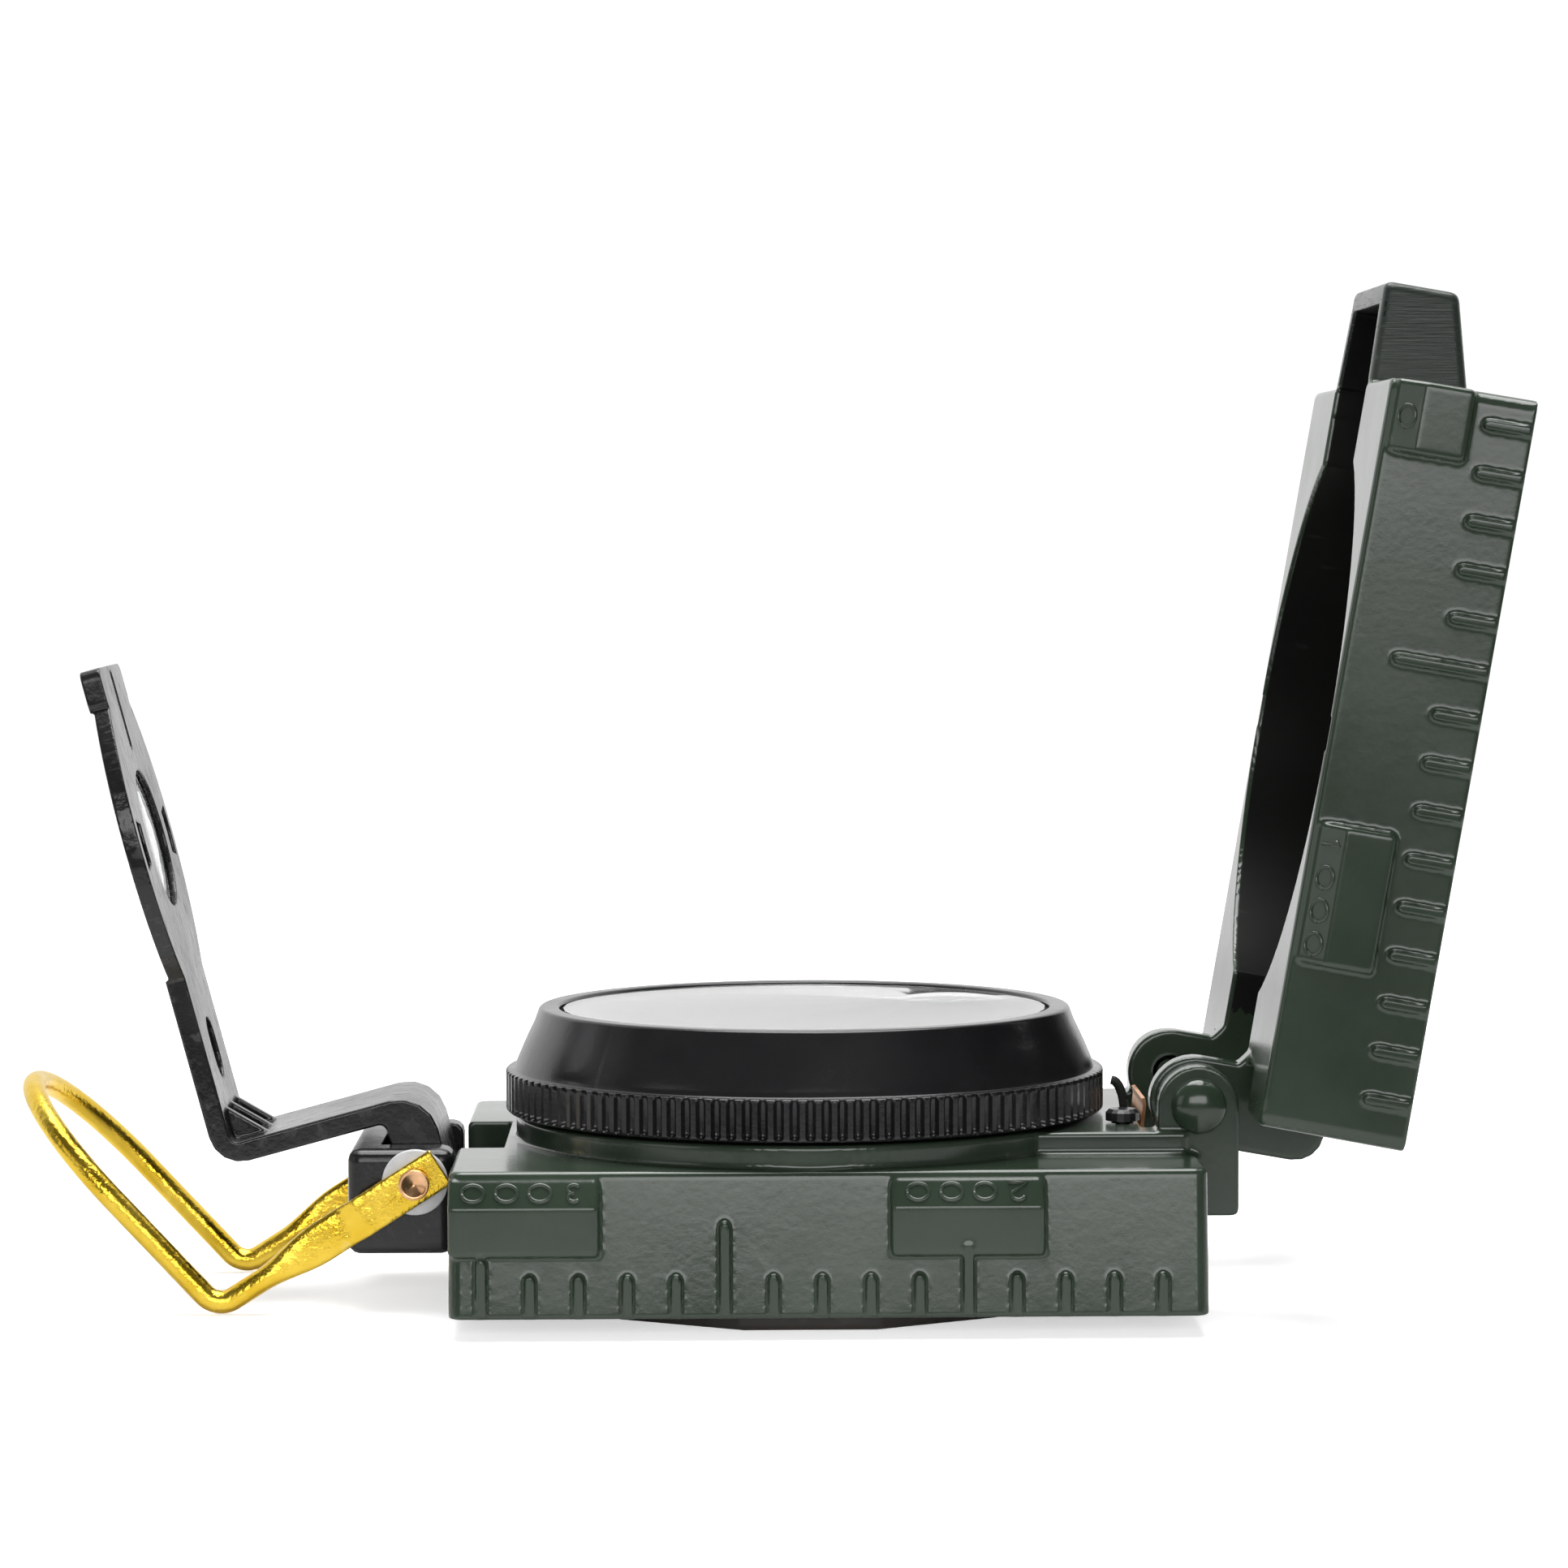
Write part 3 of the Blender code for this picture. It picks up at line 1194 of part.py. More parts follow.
def build():
    lid_hinge = pivot("lid_hinge_axis", (HINGE_X, 0, HINGE_Z), LID_LEAN)
    bracket_hinge = pivot("bracket_axis", (PIVOT_X, 0, PIVOT_Z), BRACKET_LEAN)
    base_case()
    bottom_cover()
    bottom_cover_screws()
    front_block()
    front_block_pins()
    bracket_pin()
    nylon_washers()
    hinge_pin("hinge_pin_near", -1)
    hinge_pin("hinge_pin_far", 1)
    hinge_friction_spring()
    friction_spring_rivet()
    click_spring_screw()
    click_spring()
    capsule_housing()
    capsule_stack()
    pivot_post()
    dial_parts()
    bezel_ring()
    bezel_glass()
    bezel_rings()
    lid_cover(lid_hinge)
    sight_wire(lid_hinge)
    lens_bracket(bracket_hinge)
    sighting_lens(bracket_hinge)
    thumb_ring()


build()
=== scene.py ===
"""Looks of the sighting compass: detailed pieces, finishes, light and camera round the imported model."""
import json
import math

import bmesh
import bpy
from mathutils import Matrix, Vector

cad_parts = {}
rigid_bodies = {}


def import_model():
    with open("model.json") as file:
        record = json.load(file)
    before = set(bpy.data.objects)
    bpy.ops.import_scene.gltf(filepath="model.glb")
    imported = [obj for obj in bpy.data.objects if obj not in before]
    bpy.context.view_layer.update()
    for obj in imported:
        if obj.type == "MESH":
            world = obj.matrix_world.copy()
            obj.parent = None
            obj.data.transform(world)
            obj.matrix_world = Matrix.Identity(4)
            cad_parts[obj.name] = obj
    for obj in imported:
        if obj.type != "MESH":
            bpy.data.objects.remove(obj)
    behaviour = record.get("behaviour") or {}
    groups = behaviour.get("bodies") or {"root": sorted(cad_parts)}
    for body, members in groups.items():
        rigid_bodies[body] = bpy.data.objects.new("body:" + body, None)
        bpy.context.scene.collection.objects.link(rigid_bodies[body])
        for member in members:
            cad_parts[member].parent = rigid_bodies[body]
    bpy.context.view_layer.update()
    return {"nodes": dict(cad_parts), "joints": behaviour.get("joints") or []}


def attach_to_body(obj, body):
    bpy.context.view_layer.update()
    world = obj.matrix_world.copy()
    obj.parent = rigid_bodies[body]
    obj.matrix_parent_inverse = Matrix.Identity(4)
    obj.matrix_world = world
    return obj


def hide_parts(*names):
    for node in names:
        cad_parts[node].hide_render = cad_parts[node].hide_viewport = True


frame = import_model()

JOINTS = {joint["name"]: joint for joint in frame["joints"]}
HINGE_X, _, HINGE_Z = JOINTS["lid_hinge"]["pos_m"]
PIVOT_X, _, PIVOT_Z = JOINTS["lens_arm_fold"]["pos_m"]

# Clearances
GAP = 0.0003
HINGE_END_GAP = 0.00015

# Case
RULER_Z = 0.0018
CASE_FRONT = -0.0298
SHELL_HEIGHT = 0.0120
SHELL_LENGTH = HINGE_X - CASE_FRONT
RIM_HALF_WIDTH = 0.0255
RULER_HALF_WIDTH = 0.0270
RIM_Z = RULER_Z + SHELL_HEIGHT
FLOOR_TOP = 0.0044
FLOOR_HOLE_RADIUS = 0.0170
BORE_RADIUS = 0.0210
COLLAR_RADIUS = 0.0251
COLLAR_TOP = 0.0158
COLLAR_FILLET = 0.0004
NECK_RADIUS = 0.0222
NECK_TOP = 0.0205
GROOVE_LOW = 0.0179
GROOVE_HIGH = 0.0190
GROOVE_DEPTH = 0.0005

# Ruler: a rib every 100 m of a 1:25000 map, with the hinge at 1500 m
RIB_PITCH = 0.0040
RIB_WIDTH = 0.0008
RIB_PROUD = 0.0002
RIB_COUNT = 15
CASE_RIB = 0.0036
CASE_RIB_HEIGHTS = {5: 0.0062, 10: 0.0079, 15: 0.0050}
LID_RIB = 0.0041
LID_RIB_HEIGHTS = {10: 0.0080}
BOSS_LOW = 0.0051
BOSS_EDGE = 0.0092
BOSS_HIGH = 0.0115
CASE_BOSSES = ((0.0137, 0.0263), (0.0503, 0.0627))
LID_BOSSES = ((0.0141, 0.0258), (0.0566, 0.0626))

# Bottom cover
COVER_SIDES = 12
COVER_APOTHEM = 0.0219
COVER_FLANGE = RULER_Z - GAP
COVER_SCREW_CIRCLE = 0.0194
COVER_SCREW_RADIUS = 0.0008
COVER_SCREW_HEAD = 0.0014
COVER_SCREW_TURNS = (45, 135, 225, 315)
COVER_SCREW_SEAT = 0.0009

# Hinge
EAR_RADIUS = 0.0034
EAR_INNER = 0.0127
EAR_OUTER = 0.0159
EAR_BOTTOM = 0.0085
POCKET_DEPTH = 0.0045
POCKET_BOTTOM = 0.0055
PLATFORM_START = 0.0190
PLATFORM_HALF_WIDTH = 0.0162
PLATFORM_TOP = COLLAR_TOP - 0.0001
HINGE_PIN_RADIUS = 0.0012
HINGE_HEAD_RADIUS = 0.00235
HINGE_HEAD_HEIGHT = 0.0013
FRICTION_RIVET_Z = 0.0100
FRICTION_RIVET_RADIUS = 0.0008

# Click spring of the bezel
CLICK_SCREW = (0.0270, -0.0095)
CLICK_SCREW_RADIUS = 0.0006
CLICK_WIRE_RADIUS = 0.00040
CLICK_SPRING_FOOT = (0.0274, -0.0064)

# Lid, in its own frame: X is out through the lid, Z runs along it from the hinge axis
LID_LEAN = math.radians(9.95)
LID_RIM = 0.0040
LID_OUTER = LID_RIM + SHELL_HEIGHT
LID_PLATE = 0.0015
LID_CAVITY_RADIUS = 0.0250
LID_CHANNEL_HINGE = 0.0097
LID_CHANNEL_FRONT = 0.0103
ARM_RADIUS = 0.0038
ARM_OUTER = 0.0123
ARM_HEEL = 0.0114
EAR_NOTCH_LENGTH = 0.0040
EAR_NOTCH_DEPTH = 0.0104
TONGUE_SHOULDER = 0.0626
TONGUE_TIP = 0.0713
TONGUE_FOOT_HALF_WIDTH = 0.0120
TONGUE_TIP_HALF_WIDTH = 0.0100
TONGUE_FOOT_DEPTH = 0.0127
TONGUE_TIP_DEPTH = 0.0105
TONGUE_WALL = 0.0016
TONGUE_END_WALL = 0.0019
WINDOW_START = 0.0214
WINDOW_END = 0.0586
WINDOW_HALF_WIDTH = 0.0030

# Bezel
BEZEL_TOP = 0.02505
BEZEL_BOTTOM = 0.0161
BEZEL_BAND_RADIUS = 0.0260
BEZEL_BAND_TOP = 0.0197
BEZEL_TOP_RADIUS = 0.02315
BEZEL_FOOT_RADIUS = 0.0252
BEZEL_WINDOW_RADIUS = 0.0213
BEZEL_GLASS_RADIUS = 0.0219
BEZEL_GLASS_BOTTOM = 0.0232
BEZEL_GLASS_TOP = 0.0242
BEZEL_GLASS_CROWN = 0.02485
KNURL_TEETH = 124
KNURL_DEPTH = 0.0004
MAGNIFIER = (0.0129, 0.0076)
MAGNIFIER_RADIUS = 0.0045
MAGNIFIER_RISE = 0.00035

# Front block and its cross pin
BLOCK_FRONT = -0.0391
BLOCK_HALF_WIDTH = 0.0113
BLOCK_BOTTOM = 0.0049
BLOCK_TOP = 0.0139
SLOT_HALF_WIDTH = 0.0076
BLOCK_PIN_RADIUS = 0.0010
BLOCK_PIN_Y = 0.0050
BLOCK_PIN_Z = 0.0060
CHANNEL_HALF_WIDTH = 0.0092
CHANNEL_END = -0.0259
CHANNEL_BOTTOM = 0.0075
PIN_RADIUS = 0.0008
PIN_HEAD_RADIUS = 0.0013
WASHER_RADIUS = 0.0028
WASHER_THICKNESS = 0.0005

# Lens bracket, in its own frame: X is away from the panel, Z runs up the panel
BRACKET_LEAN = math.radians(-15.0)
BRACKET_HALF_WIDTH = 0.00725
LEG_FACE = 0.0027
LEG_BACK = -0.0016
ARM_LOW = 0.0050
ARM_HIGH = 0.0068
PANEL_OUTER = -0.0161
PANEL_INNER = -0.0147
PANEL_TOP = 0.0491
SIGHT_SLIT_HALF_WIDTH = 0.0006
PANEL_TOP_HALF_WIDTH = 0.0075
LENS_HEIGHT = 0.0336
LENS_LEAF_RADIUS = 0.0170
LENS_LEAF_HALF_CHORD = 0.01205
SIDE_SLOT_INNER = 0.0084
SIDE_SLOT_OUTER = 0.0109
PAD_THICKNESS = 0.00175
LENS_RADIUS = 0.0064
LENS_LIP_RADIUS = 0.0061

# Thumb ring
RING_WIRE_RADIUS = 0.0010
RING_HALF_WIDTH = 0.0120
RING_LUG_Y = 0.0127
RING_LUG_REACH = 0.0026
RING_LUG_HALF_WIDTH = 0.00175
RING_LUG_THICKNESS = 0.0006
RING_LUG_LENGTH = 0.0052
RING_BEND = (-0.0501, 0.00052)
RING_END = (-0.0669, 0.0185)
RING_BEND_RADIUS = 0.0020

# Capsule and dial
DIAL_RADIUS = 0.0176
DIAL_BOTTOM = 0.0130

ROUND_STEPS = 192
SMALL_STEPS = 40


def make_group(name):
    group = bpy.data.collections.new(name)
    bpy.context.scene.collection.children.link(group)
    return group


PARTS = make_group("sighting_compass_looks")
CUTTERS = make_group("looks_cutters")

AXIS_TURN = {
    "X": Matrix.Rotation(math.radians(90), 4, "Y"),
    "Y": Matrix.Rotation(math.radians(-90), 4, "X"),
    "Z": Matrix.Identity(4),
}
PLANES = {
    "XY": Matrix(((1, 0, 0, 0), (0, 1, 0, 0), (0, 0, 1, 0), (0, 0, 0, 1))),
    "XZ": Matrix(((1, 0, 0, 0), (0, 0, -1, 0), (0, 1, 0, 0), (0, 0, 0, 1))),
    "YZ": Matrix(((0, 0, 1, 0), (1, 0, 0, 0), (0, 1, 0, 0), (0, 0, 0, 1))),
}
NORMALS = {"XY": Vector((0, 0, 1)), "XZ": Vector((0, 1, 0)), "YZ": Vector((1, 0, 0))}


def add_mesh(name, bm, group=PARTS):
    """Turn a bmesh into a linked object."""
    mesh = bpy.data.meshes.new(name)
    bmesh.ops.recalc_face_normals(bm, faces=bm.faces)
    bm.to_mesh(mesh)
    bm.free()
    obj = bpy.data.objects.new(name, mesh)
    group.objects.link(obj)
    return obj


def bake(obj):
    """Replace an object by the welded mesh that it evaluates to."""
    bpy.context.view_layer.update()
    depsgraph = bpy.context.evaluated_depsgraph_get()
    mesh = bpy.data.meshes.new_from_object(obj.evaluated_get(depsgraph))
    bm = bmesh.new()
    bm.from_mesh(mesh)
    bm.transform(obj.matrix_world)
    bmesh.ops.remove_doubles(bm, verts=bm.verts, dist=0.000001)
    bmesh.ops.triangulate(bm, faces=[face for face in bm.faces if len(face.verts) > 4])
    name = obj.name
    group = obj.users_collection[0]
    bpy.data.objects.remove(obj, do_unlink=True)
    return add_mesh(name, bm, group)


def box(name, low, high):
    bm = bmesh.new()
    bmesh.ops.create_cube(bm, size=1.0)
    size = Vector(high) - Vector(low)
    middle = (Vector(high) + Vector(low)) / 2
    bm.transform(Matrix.Translation(middle) @ Matrix.Diagonal((*size, 1.0)))
    return add_mesh(name, bm)


def wedge(name, z_low, z_high, low_rect, high_rect):
    """A cube whose lower and upper faces are the rectangles (x0, x1, y0, y1)."""
    bm = bmesh.new()
    bmesh.ops.create_cube(bm, size=1.0)
    for vert in bm.verts:
        rect = high_rect if vert.co.z > 0 else low_rect
        x = rect[1] if vert.co.x > 0 else rect[0]
        y = rect[3] if vert.co.y > 0 else rect[2]
        z = z_high if vert.co.z > 0 else z_low
        vert.co = (x, y, z)
    return add_mesh(name, bm)


def soften(obj, width, segments=2, angle=40.0):
    """Round the sharp edges of an object."""
    bevel = obj.modifiers.new("soften", "BEVEL")
    bevel.width = width
    bevel.segments = segments
    bevel.limit_method = "ANGLE"
    bevel.angle_limit = math.radians(angle)
    return obj


def rod(name, radius, start, end, axis, at=(0, 0, 0), steps=SMALL_STEPS):
    """A cylinder along an axis between two coordinates of that axis."""
    bm = bmesh.new()
    bmesh.ops.create_cone(
        bm, cap_ends=True, segments=steps, radius1=radius, radius2=radius, depth=end - start)
    bm.transform(Matrix.Translation((0, 0, (start + end) / 2)))
    bm.transform(Matrix.Translation(at) @ AXIS_TURN[axis])
    return add_mesh(name, bm)


def turned(name, profile, axis="Z", at=(0, 0, 0), closed=True, steps=ROUND_STEPS):
    """Turn a profile of (radius, height) points, listed down its outer side."""
    bm = bmesh.new()
    verts = [bm.verts.new((radius, 0, height)) for radius, height in profile]
    for first, second in zip(verts, verts[1:]):
        bm.edges.new((first, second))
    if closed:
        bm.edges.new((verts[-1], verts[0]))
    mesh = bpy.data.meshes.new(name)
    bm.to_mesh(mesh)
    bm.free()
    obj = bpy.data.objects.new(name, mesh)
    PARTS.objects.link(obj)
    screw = obj.modifiers.new("turn", "SCREW")
    screw.steps = steps
    screw.render_steps = steps
    screw.use_merge_vertices = True
    screw.merge_threshold = 0.000005
    obj.matrix_world = Matrix.Translation(at) @ AXIS_TURN[axis]
    return bake(obj)


def sheet(name, outline, plane, start, end, holes=()):
    """A flat outline with holes, as thick as start to end across its plane."""
    curve = bpy.data.curves.new(name, "CURVE")
    curve.dimensions = "2D"
    curve.fill_mode = "BOTH"
    curve.extrude = abs(end - start) / 2
    for loop in (outline, *holes):
        spline = curve.splines.new("POLY")
        spline.points.add(len(loop) - 1)
        for point, (u, v) in zip(spline.points, loop):
            point.co = (u, v, 0, 1)
        spline.use_cyclic_u = True
    obj = bpy.data.objects.new(name, curve)
    PARTS.objects.link(obj)
    obj.matrix_world = Matrix.Translation(NORMALS[plane] * (start + end) / 2) @ PLANES[plane]
    return bake(obj)


def combine(target, other, operation):
    """Add a Boolean of other on target, and put other with the cutters."""
    for group in list(other.users_collection):
        group.objects.unlink(other)
    CUTTERS.objects.link(other)
    other.hide_render = True
    other.display_type = "WIRE"
    boolean = target.modifiers.new(other.name, "BOOLEAN")
    boolean.operation = operation
    boolean.object = other
    boolean.solver = "EXACT"
    return target


def cut(target, *others):
    for other in others:
        combine(target, other, "DIFFERENCE")
    return target


def weld(target, *others):
    for other in others:
        combine(target, other, "UNION")
    return target


def merge(name, objects):
    """Join separate solids into one object."""
    bm = bmesh.new()
    for obj in objects:
        bm.from_mesh(obj.data)
        bpy.data.objects.remove(obj, do_unlink=True)
    return add_mesh(name, bm)


def arc(centre, radius, start, end, steps):
    """Points on an arc, angles in degrees, both ends included."""
    angles = [math.radians(start + (end - start) * step / steps) for step in range(steps + 1)]
    return [(centre[0] + radius * math.cos(a), centre[1] + radius * math.sin(a)) for a in angles]


def circle(centre, radius, steps):
    return arc(centre, radius, 0, 360, steps)[:-1]


def slot(centre, half_width, half_length, steps=8):
    """A slot with round ends along the second axis."""
    reach = half_length - half_width
    top = arc((centre[0], centre[1] + reach), half_width, 0, 180, steps)
    bottom = arc((centre[0], centre[1] - reach), half_width, 180, 360, steps)
    return top + bottom


def fillet(corner, before, after, radius, steps=4):
    """Points that round a corner between two neighbours."""
    corner = Vector(corner)
    to_before = (Vector(before) - corner).normalized()
    to_after = (Vector(after) - corner).normalized()
    half = to_before.angle(to_after) / 2
    centre = corner + (to_before + to_after).normalized() * radius / math.sin(half)
    first = corner + to_before * radius / math.tan(half) - centre
    last = corner + to_after * radius / math.tan(half) - centre
    turn = first.angle_signed(last)
    points = []
    for step in range(steps + 1):
        spoke = first.copy()
        spoke.rotate(Matrix.Rotation(-turn * step / steps, 2))
        points.append(tuple(centre + spoke))
    return points


def rounded(corners):
    """An outline from (u, v, radius) corners."""
    points = []
    for index, (u, v, radius) in enumerate(corners):
        if radius == 0:
            points.append((u, v))
            continue
        before = corners[index - 1][:2]
        after = corners[(index + 1) % len(corners)][:2]
        points += fillet((u, v), before, after, radius)
    return points


def shell_body(name, length):
    """A box that widens towards the ruler plane. X runs from the hinge and Z up from the ruler."""
    bm = bmesh.new()
    bmesh.ops.create_cube(bm, size=1.0)
    for vert in bm.verts:
        half_width = RIM_HALF_WIDTH if vert.co.z > 0 else RULER_HALF_WIDTH
        x = length if vert.co.x > 0 else HINGE_END_GAP
        y = math.copysign(half_width, vert.co.y)
        z = SHELL_HEIGHT if vert.co.z > 0 else 0
        vert.co = (x, y, z)
    upright = [e for e in bm.edges if abs(e.verts[0].co.z - e.verts[1].co.z) > SHELL_HEIGHT / 2]
    bmesh.ops.bevel(
        bm, geom=upright, offset=0.0010, segments=3, profile=0.5, affect="EDGES", clamp_overlap=True)
    level = [e for e in bm.edges if min(v.co.z for v in e.verts) > SHELL_HEIGHT * 0.9]
    bmesh.ops.bevel(
        bm, geom=level, offset=0.0004, segments=2, profile=0.5, affect="EDGES", clamp_overlap=True)
    return add_mesh(name, bm)


def ruler_ribs(name, height, special):
    """The ribs of one half of the ruler, counted from the hinge."""
    ribs = []
    low = 0.0002
    half = RIB_WIDTH / 2
    for number in range(1, RIB_COUNT + 1):
        x = number * RIB_PITCH
        top = special.get(number, height)
        outline = [(x - half, low)] + [(x + half, low)]
        outline += arc((x, top - half), half, 0, 180, 4)
        ribs.append(sheet("rib", outline, "XZ", -RULER_HALF_WIDTH - RIB_PROUD, -RIM_HALF_WIDTH + 0.0010))
    return merge(name, ribs)


def number_boss(name, start, end):
    """A raised block with a slanted strip for its number."""
    outline = [
        (-RIM_HALF_WIDTH + 0.0010, BOSS_LOW),
        (-RULER_HALF_WIDTH - 0.0001, BOSS_LOW),
        (-RULER_HALF_WIDTH - 0.0001, BOSS_EDGE),
        (-RIM_HALF_WIDTH - 0.0002, BOSS_HIGH),
        (-RIM_HALF_WIDTH + 0.0010, BOSS_HIGH),
    ]
    return soften(sheet(name, outline, "YZ", start, end), 0.00035, 2)


def ruler_shell(name, length, rib_height, special, bosses):
    shell = shell_body(name, length)
    weld(shell, ruler_ribs(name + "_ribs", rib_height, special))
    for number, (start, end) in enumerate(bosses):
        weld(shell, number_boss(f"{name}_boss_{number}", start, end))
    return shell


def settle(obj, matrix):
    """Evaluate an object and its operands, and leave one mesh moved by a matrix."""
    operands = [m.object for m in obj.modifiers if m.type == "BOOLEAN"]
    obj.matrix_world = Matrix.Identity(4)
    bpy.context.view_layer.update()
    obj = bake(obj)
    for operand in operands:
        bpy.data.objects.remove(operand, do_unlink=True)
    obj.data.transform(matrix)
    if matrix.determinant() < 0:
        obj.data.flip_normals()
    return obj


def base_case():
    shell = ruler_shell("base_case", SHELL_LENGTH, CASE_RIB, CASE_RIB_HEIGHTS, CASE_BOSSES)
    toward_front = Matrix.Translation((HINGE_X, 0, RULER_Z)) @ Matrix.Diagonal((-1, 1, 1, 1))
    base = settle(shell, toward_front)
    foot = COLLAR_RADIUS + COLLAR_FILLET
    fillet_arc = arc((foot, RIM_Z - 0.0002 + COLLAR_FILLET), COLLAR_FILLET, 180, 270, 3)
    collar = turned("collar", [
        (0.0200, NECK_TOP),
        (NECK_RADIUS, NECK_TOP),
        (NECK_RADIUS, GROOVE_HIGH),
        (NECK_RADIUS - GROOVE_DEPTH, GROOVE_HIGH),
        (NECK_RADIUS - GROOVE_DEPTH, GROOVE_LOW),
        (NECK_RADIUS, GROOVE_LOW),
        (NECK_RADIUS, COLLAR_TOP),
        (COLLAR_RADIUS - 0.0002, COLLAR_TOP),
        (COLLAR_RADIUS, COLLAR_TOP - 0.0002),
        *fillet_arc,
        (foot, RIM_Z - 0.0020),
        (0.0200, RIM_Z - 0.0020),
    ])
    side = RIM_HALF_WIDTH - 0.0001
    combine(collar, box("collar_limit", (-0.04, -side, 0), (0.04, side, 0.04)), "INTERSECT")
    platform = box(
        "platform",
        (PLATFORM_START, -PLATFORM_HALF_WIDTH, RIM_Z - 0.0020),
        (HINGE_X - HINGE_END_GAP - 0.0008, PLATFORM_HALF_WIDTH, PLATFORM_TOP))
    weld(base, collar, soften(platform, 0.0003, 2))
    ear_outline = rounded([
        (HINGE_X + EAR_RADIUS, EAR_BOTTOM, 0.0006),
        (HINGE_X + EAR_RADIUS, HINGE_Z, 0),
        *[(x, z, 0) for x, z in arc((HINGE_X, HINGE_Z), EAR_RADIUS, 10, 170, 14)],
        (HINGE_X - EAR_RADIUS, HINGE_Z, 0),
        (HINGE_X - EAR_RADIUS, RIM_Z - 0.0010, 0),
        (HINGE_X - 0.0020, RIM_Z - 0.0010, 0),
        (HINGE_X - 0.0020, EAR_BOTTOM, 0),
    ])
    for side_name, side in (("near", -1), ("far", 1)):
        ear = sheet(
            "ear_" + side_name, ear_outline, "XZ",
            min(side * EAR_OUTER, side * 0.0115), max(side * EAR_OUTER, side * 0.0115))
        weld(base, soften(ear, 0.0002, 1))
    cut(
        base,
        box(
            "pocket",
            (HINGE_X - POCKET_DEPTH, -EAR_INNER, POCKET_BOTTOM), (HINGE_X + 0.01, EAR_INNER, 0.04)),
        rod("bore", BORE_RADIUS, FLOOR_TOP, 0.04, "Z", steps=ROUND_STEPS),
        rod("floor_hole", FLOOR_HOLE_RADIUS, 0, 0.02, "Z", steps=ROUND_STEPS),
        box(
            "arm_channel",
            (CASE_FRONT - 0.01, -CHANNEL_HALF_WIDTH, CHANNEL_BOTTOM),
            (CHANNEL_END, CHANNEL_HALF_WIDTH, 0.04)),
        rod(
            "hinge_hole", HINGE_PIN_RADIUS + GAP, -0.03, 0.03, "Y",
            at=(HINGE_X, 0, HINGE_Z), steps=SMALL_STEPS),
        rod(
            "click_screw_hole", CLICK_SCREW_RADIUS + GAP, COLLAR_TOP - 0.0030, 0.03, "Z",
            at=(*CLICK_SCREW, 0), steps=12),
        rod(
            "click_spring_hole", CLICK_WIRE_RADIUS + GAP, COLLAR_TOP - 0.0020, 0.03, "Z",
            at=(*CLICK_SPRING_FOOT, 0), steps=12),
        rod(
            "friction_rivet_hole", FRICTION_RIVET_RADIUS + GAP, HINGE_X - POCKET_DEPTH - 0.0025, HINGE_X, "X",
            at=(0, 0, FRICTION_RIVET_Z), steps=12),
        merge("cover_screw_holes", [
            rod("hole", COVER_SCREW_RADIUS + GAP, 0, 0.01, "Z", at=(x, y, 0), steps=12)
            for x, y in cover_screw_places()]),
        merge("block_pin_holes", [
            rod(
                "hole", BLOCK_PIN_RADIUS + GAP, CASE_FRONT - 0.001, CASE_FRONT + 0.0036, "X",
                at=(0, y, BLOCK_PIN_Z), steps=12)
            for y in (-BLOCK_PIN_Y, BLOCK_PIN_Y)]),
    )
    return base


def cover_screw_places():
    return [
        (COVER_SCREW_CIRCLE * math.cos(math.radians(turn)), COVER_SCREW_CIRCLE * math.sin(math.radians(turn)))
        for turn in COVER_SCREW_TURNS]


def bottom_cover():
    corner = COVER_APOTHEM / math.cos(math.pi / COVER_SIDES)
    half_side = 180 / COVER_SIDES
    outline = arc((0, 0), corner, half_side, half_side + 360, COVER_SIDES)[:-1]
    cover = soften(sheet("bottom_cover", outline, "XY", 0, COVER_FLANGE), 0.0002, 1)
    spigot = rod(
        "cover_spigot", FLOOR_HOLE_RADIUS - GAP, COVER_FLANGE - 0.0005, FLOOR_TOP - GAP, "Z", steps=40)
    weld(cover, spigot)
    for name, radius, low, high in (
            ("cover_counterbores", COVER_SCREW_HEAD + GAP, -0.001, COVER_SCREW_SEAT),
            ("cover_clearances", COVER_SCREW_RADIUS + GAP, 0.0005, 0.0030)):
        cut(cover, merge(name, [
            rod("hole", radius, low, high, "Z", at=(x, y, 0), steps=12) for x, y in cover_screw_places()]))
    return cover


def front_block():
    rear = CASE_FRONT - GAP
    block = soften(box(
        "front_block", (BLOCK_FRONT, -BLOCK_HALF_WIDTH, BLOCK_BOTTOM), (rear, BLOCK_HALF_WIDTH, BLOCK_TOP)),
        0.0010, 3)
    cut(
        block,
        box(
            "block_slot", (-0.0364, -SLOT_HALF_WIDTH, 0.0072), (CASE_FRONT + 0.01, SLOT_HALF_WIDTH, 0.03)),
        rod("block_pin_bore", PIN_RADIUS + GAP, -0.02, 0.02, "Y", at=(PIVOT_X, 0, PIVOT_Z), steps=24),
        merge("block_dowel_holes", [
            rod(
                "hole", BLOCK_PIN_RADIUS + GAP, rear - 0.0033, rear + 0.002, "X",
                at=(0, y, BLOCK_PIN_Z), steps=12)
            for y in (-BLOCK_PIN_Y, BLOCK_PIN_Y)]),
    )
    return block


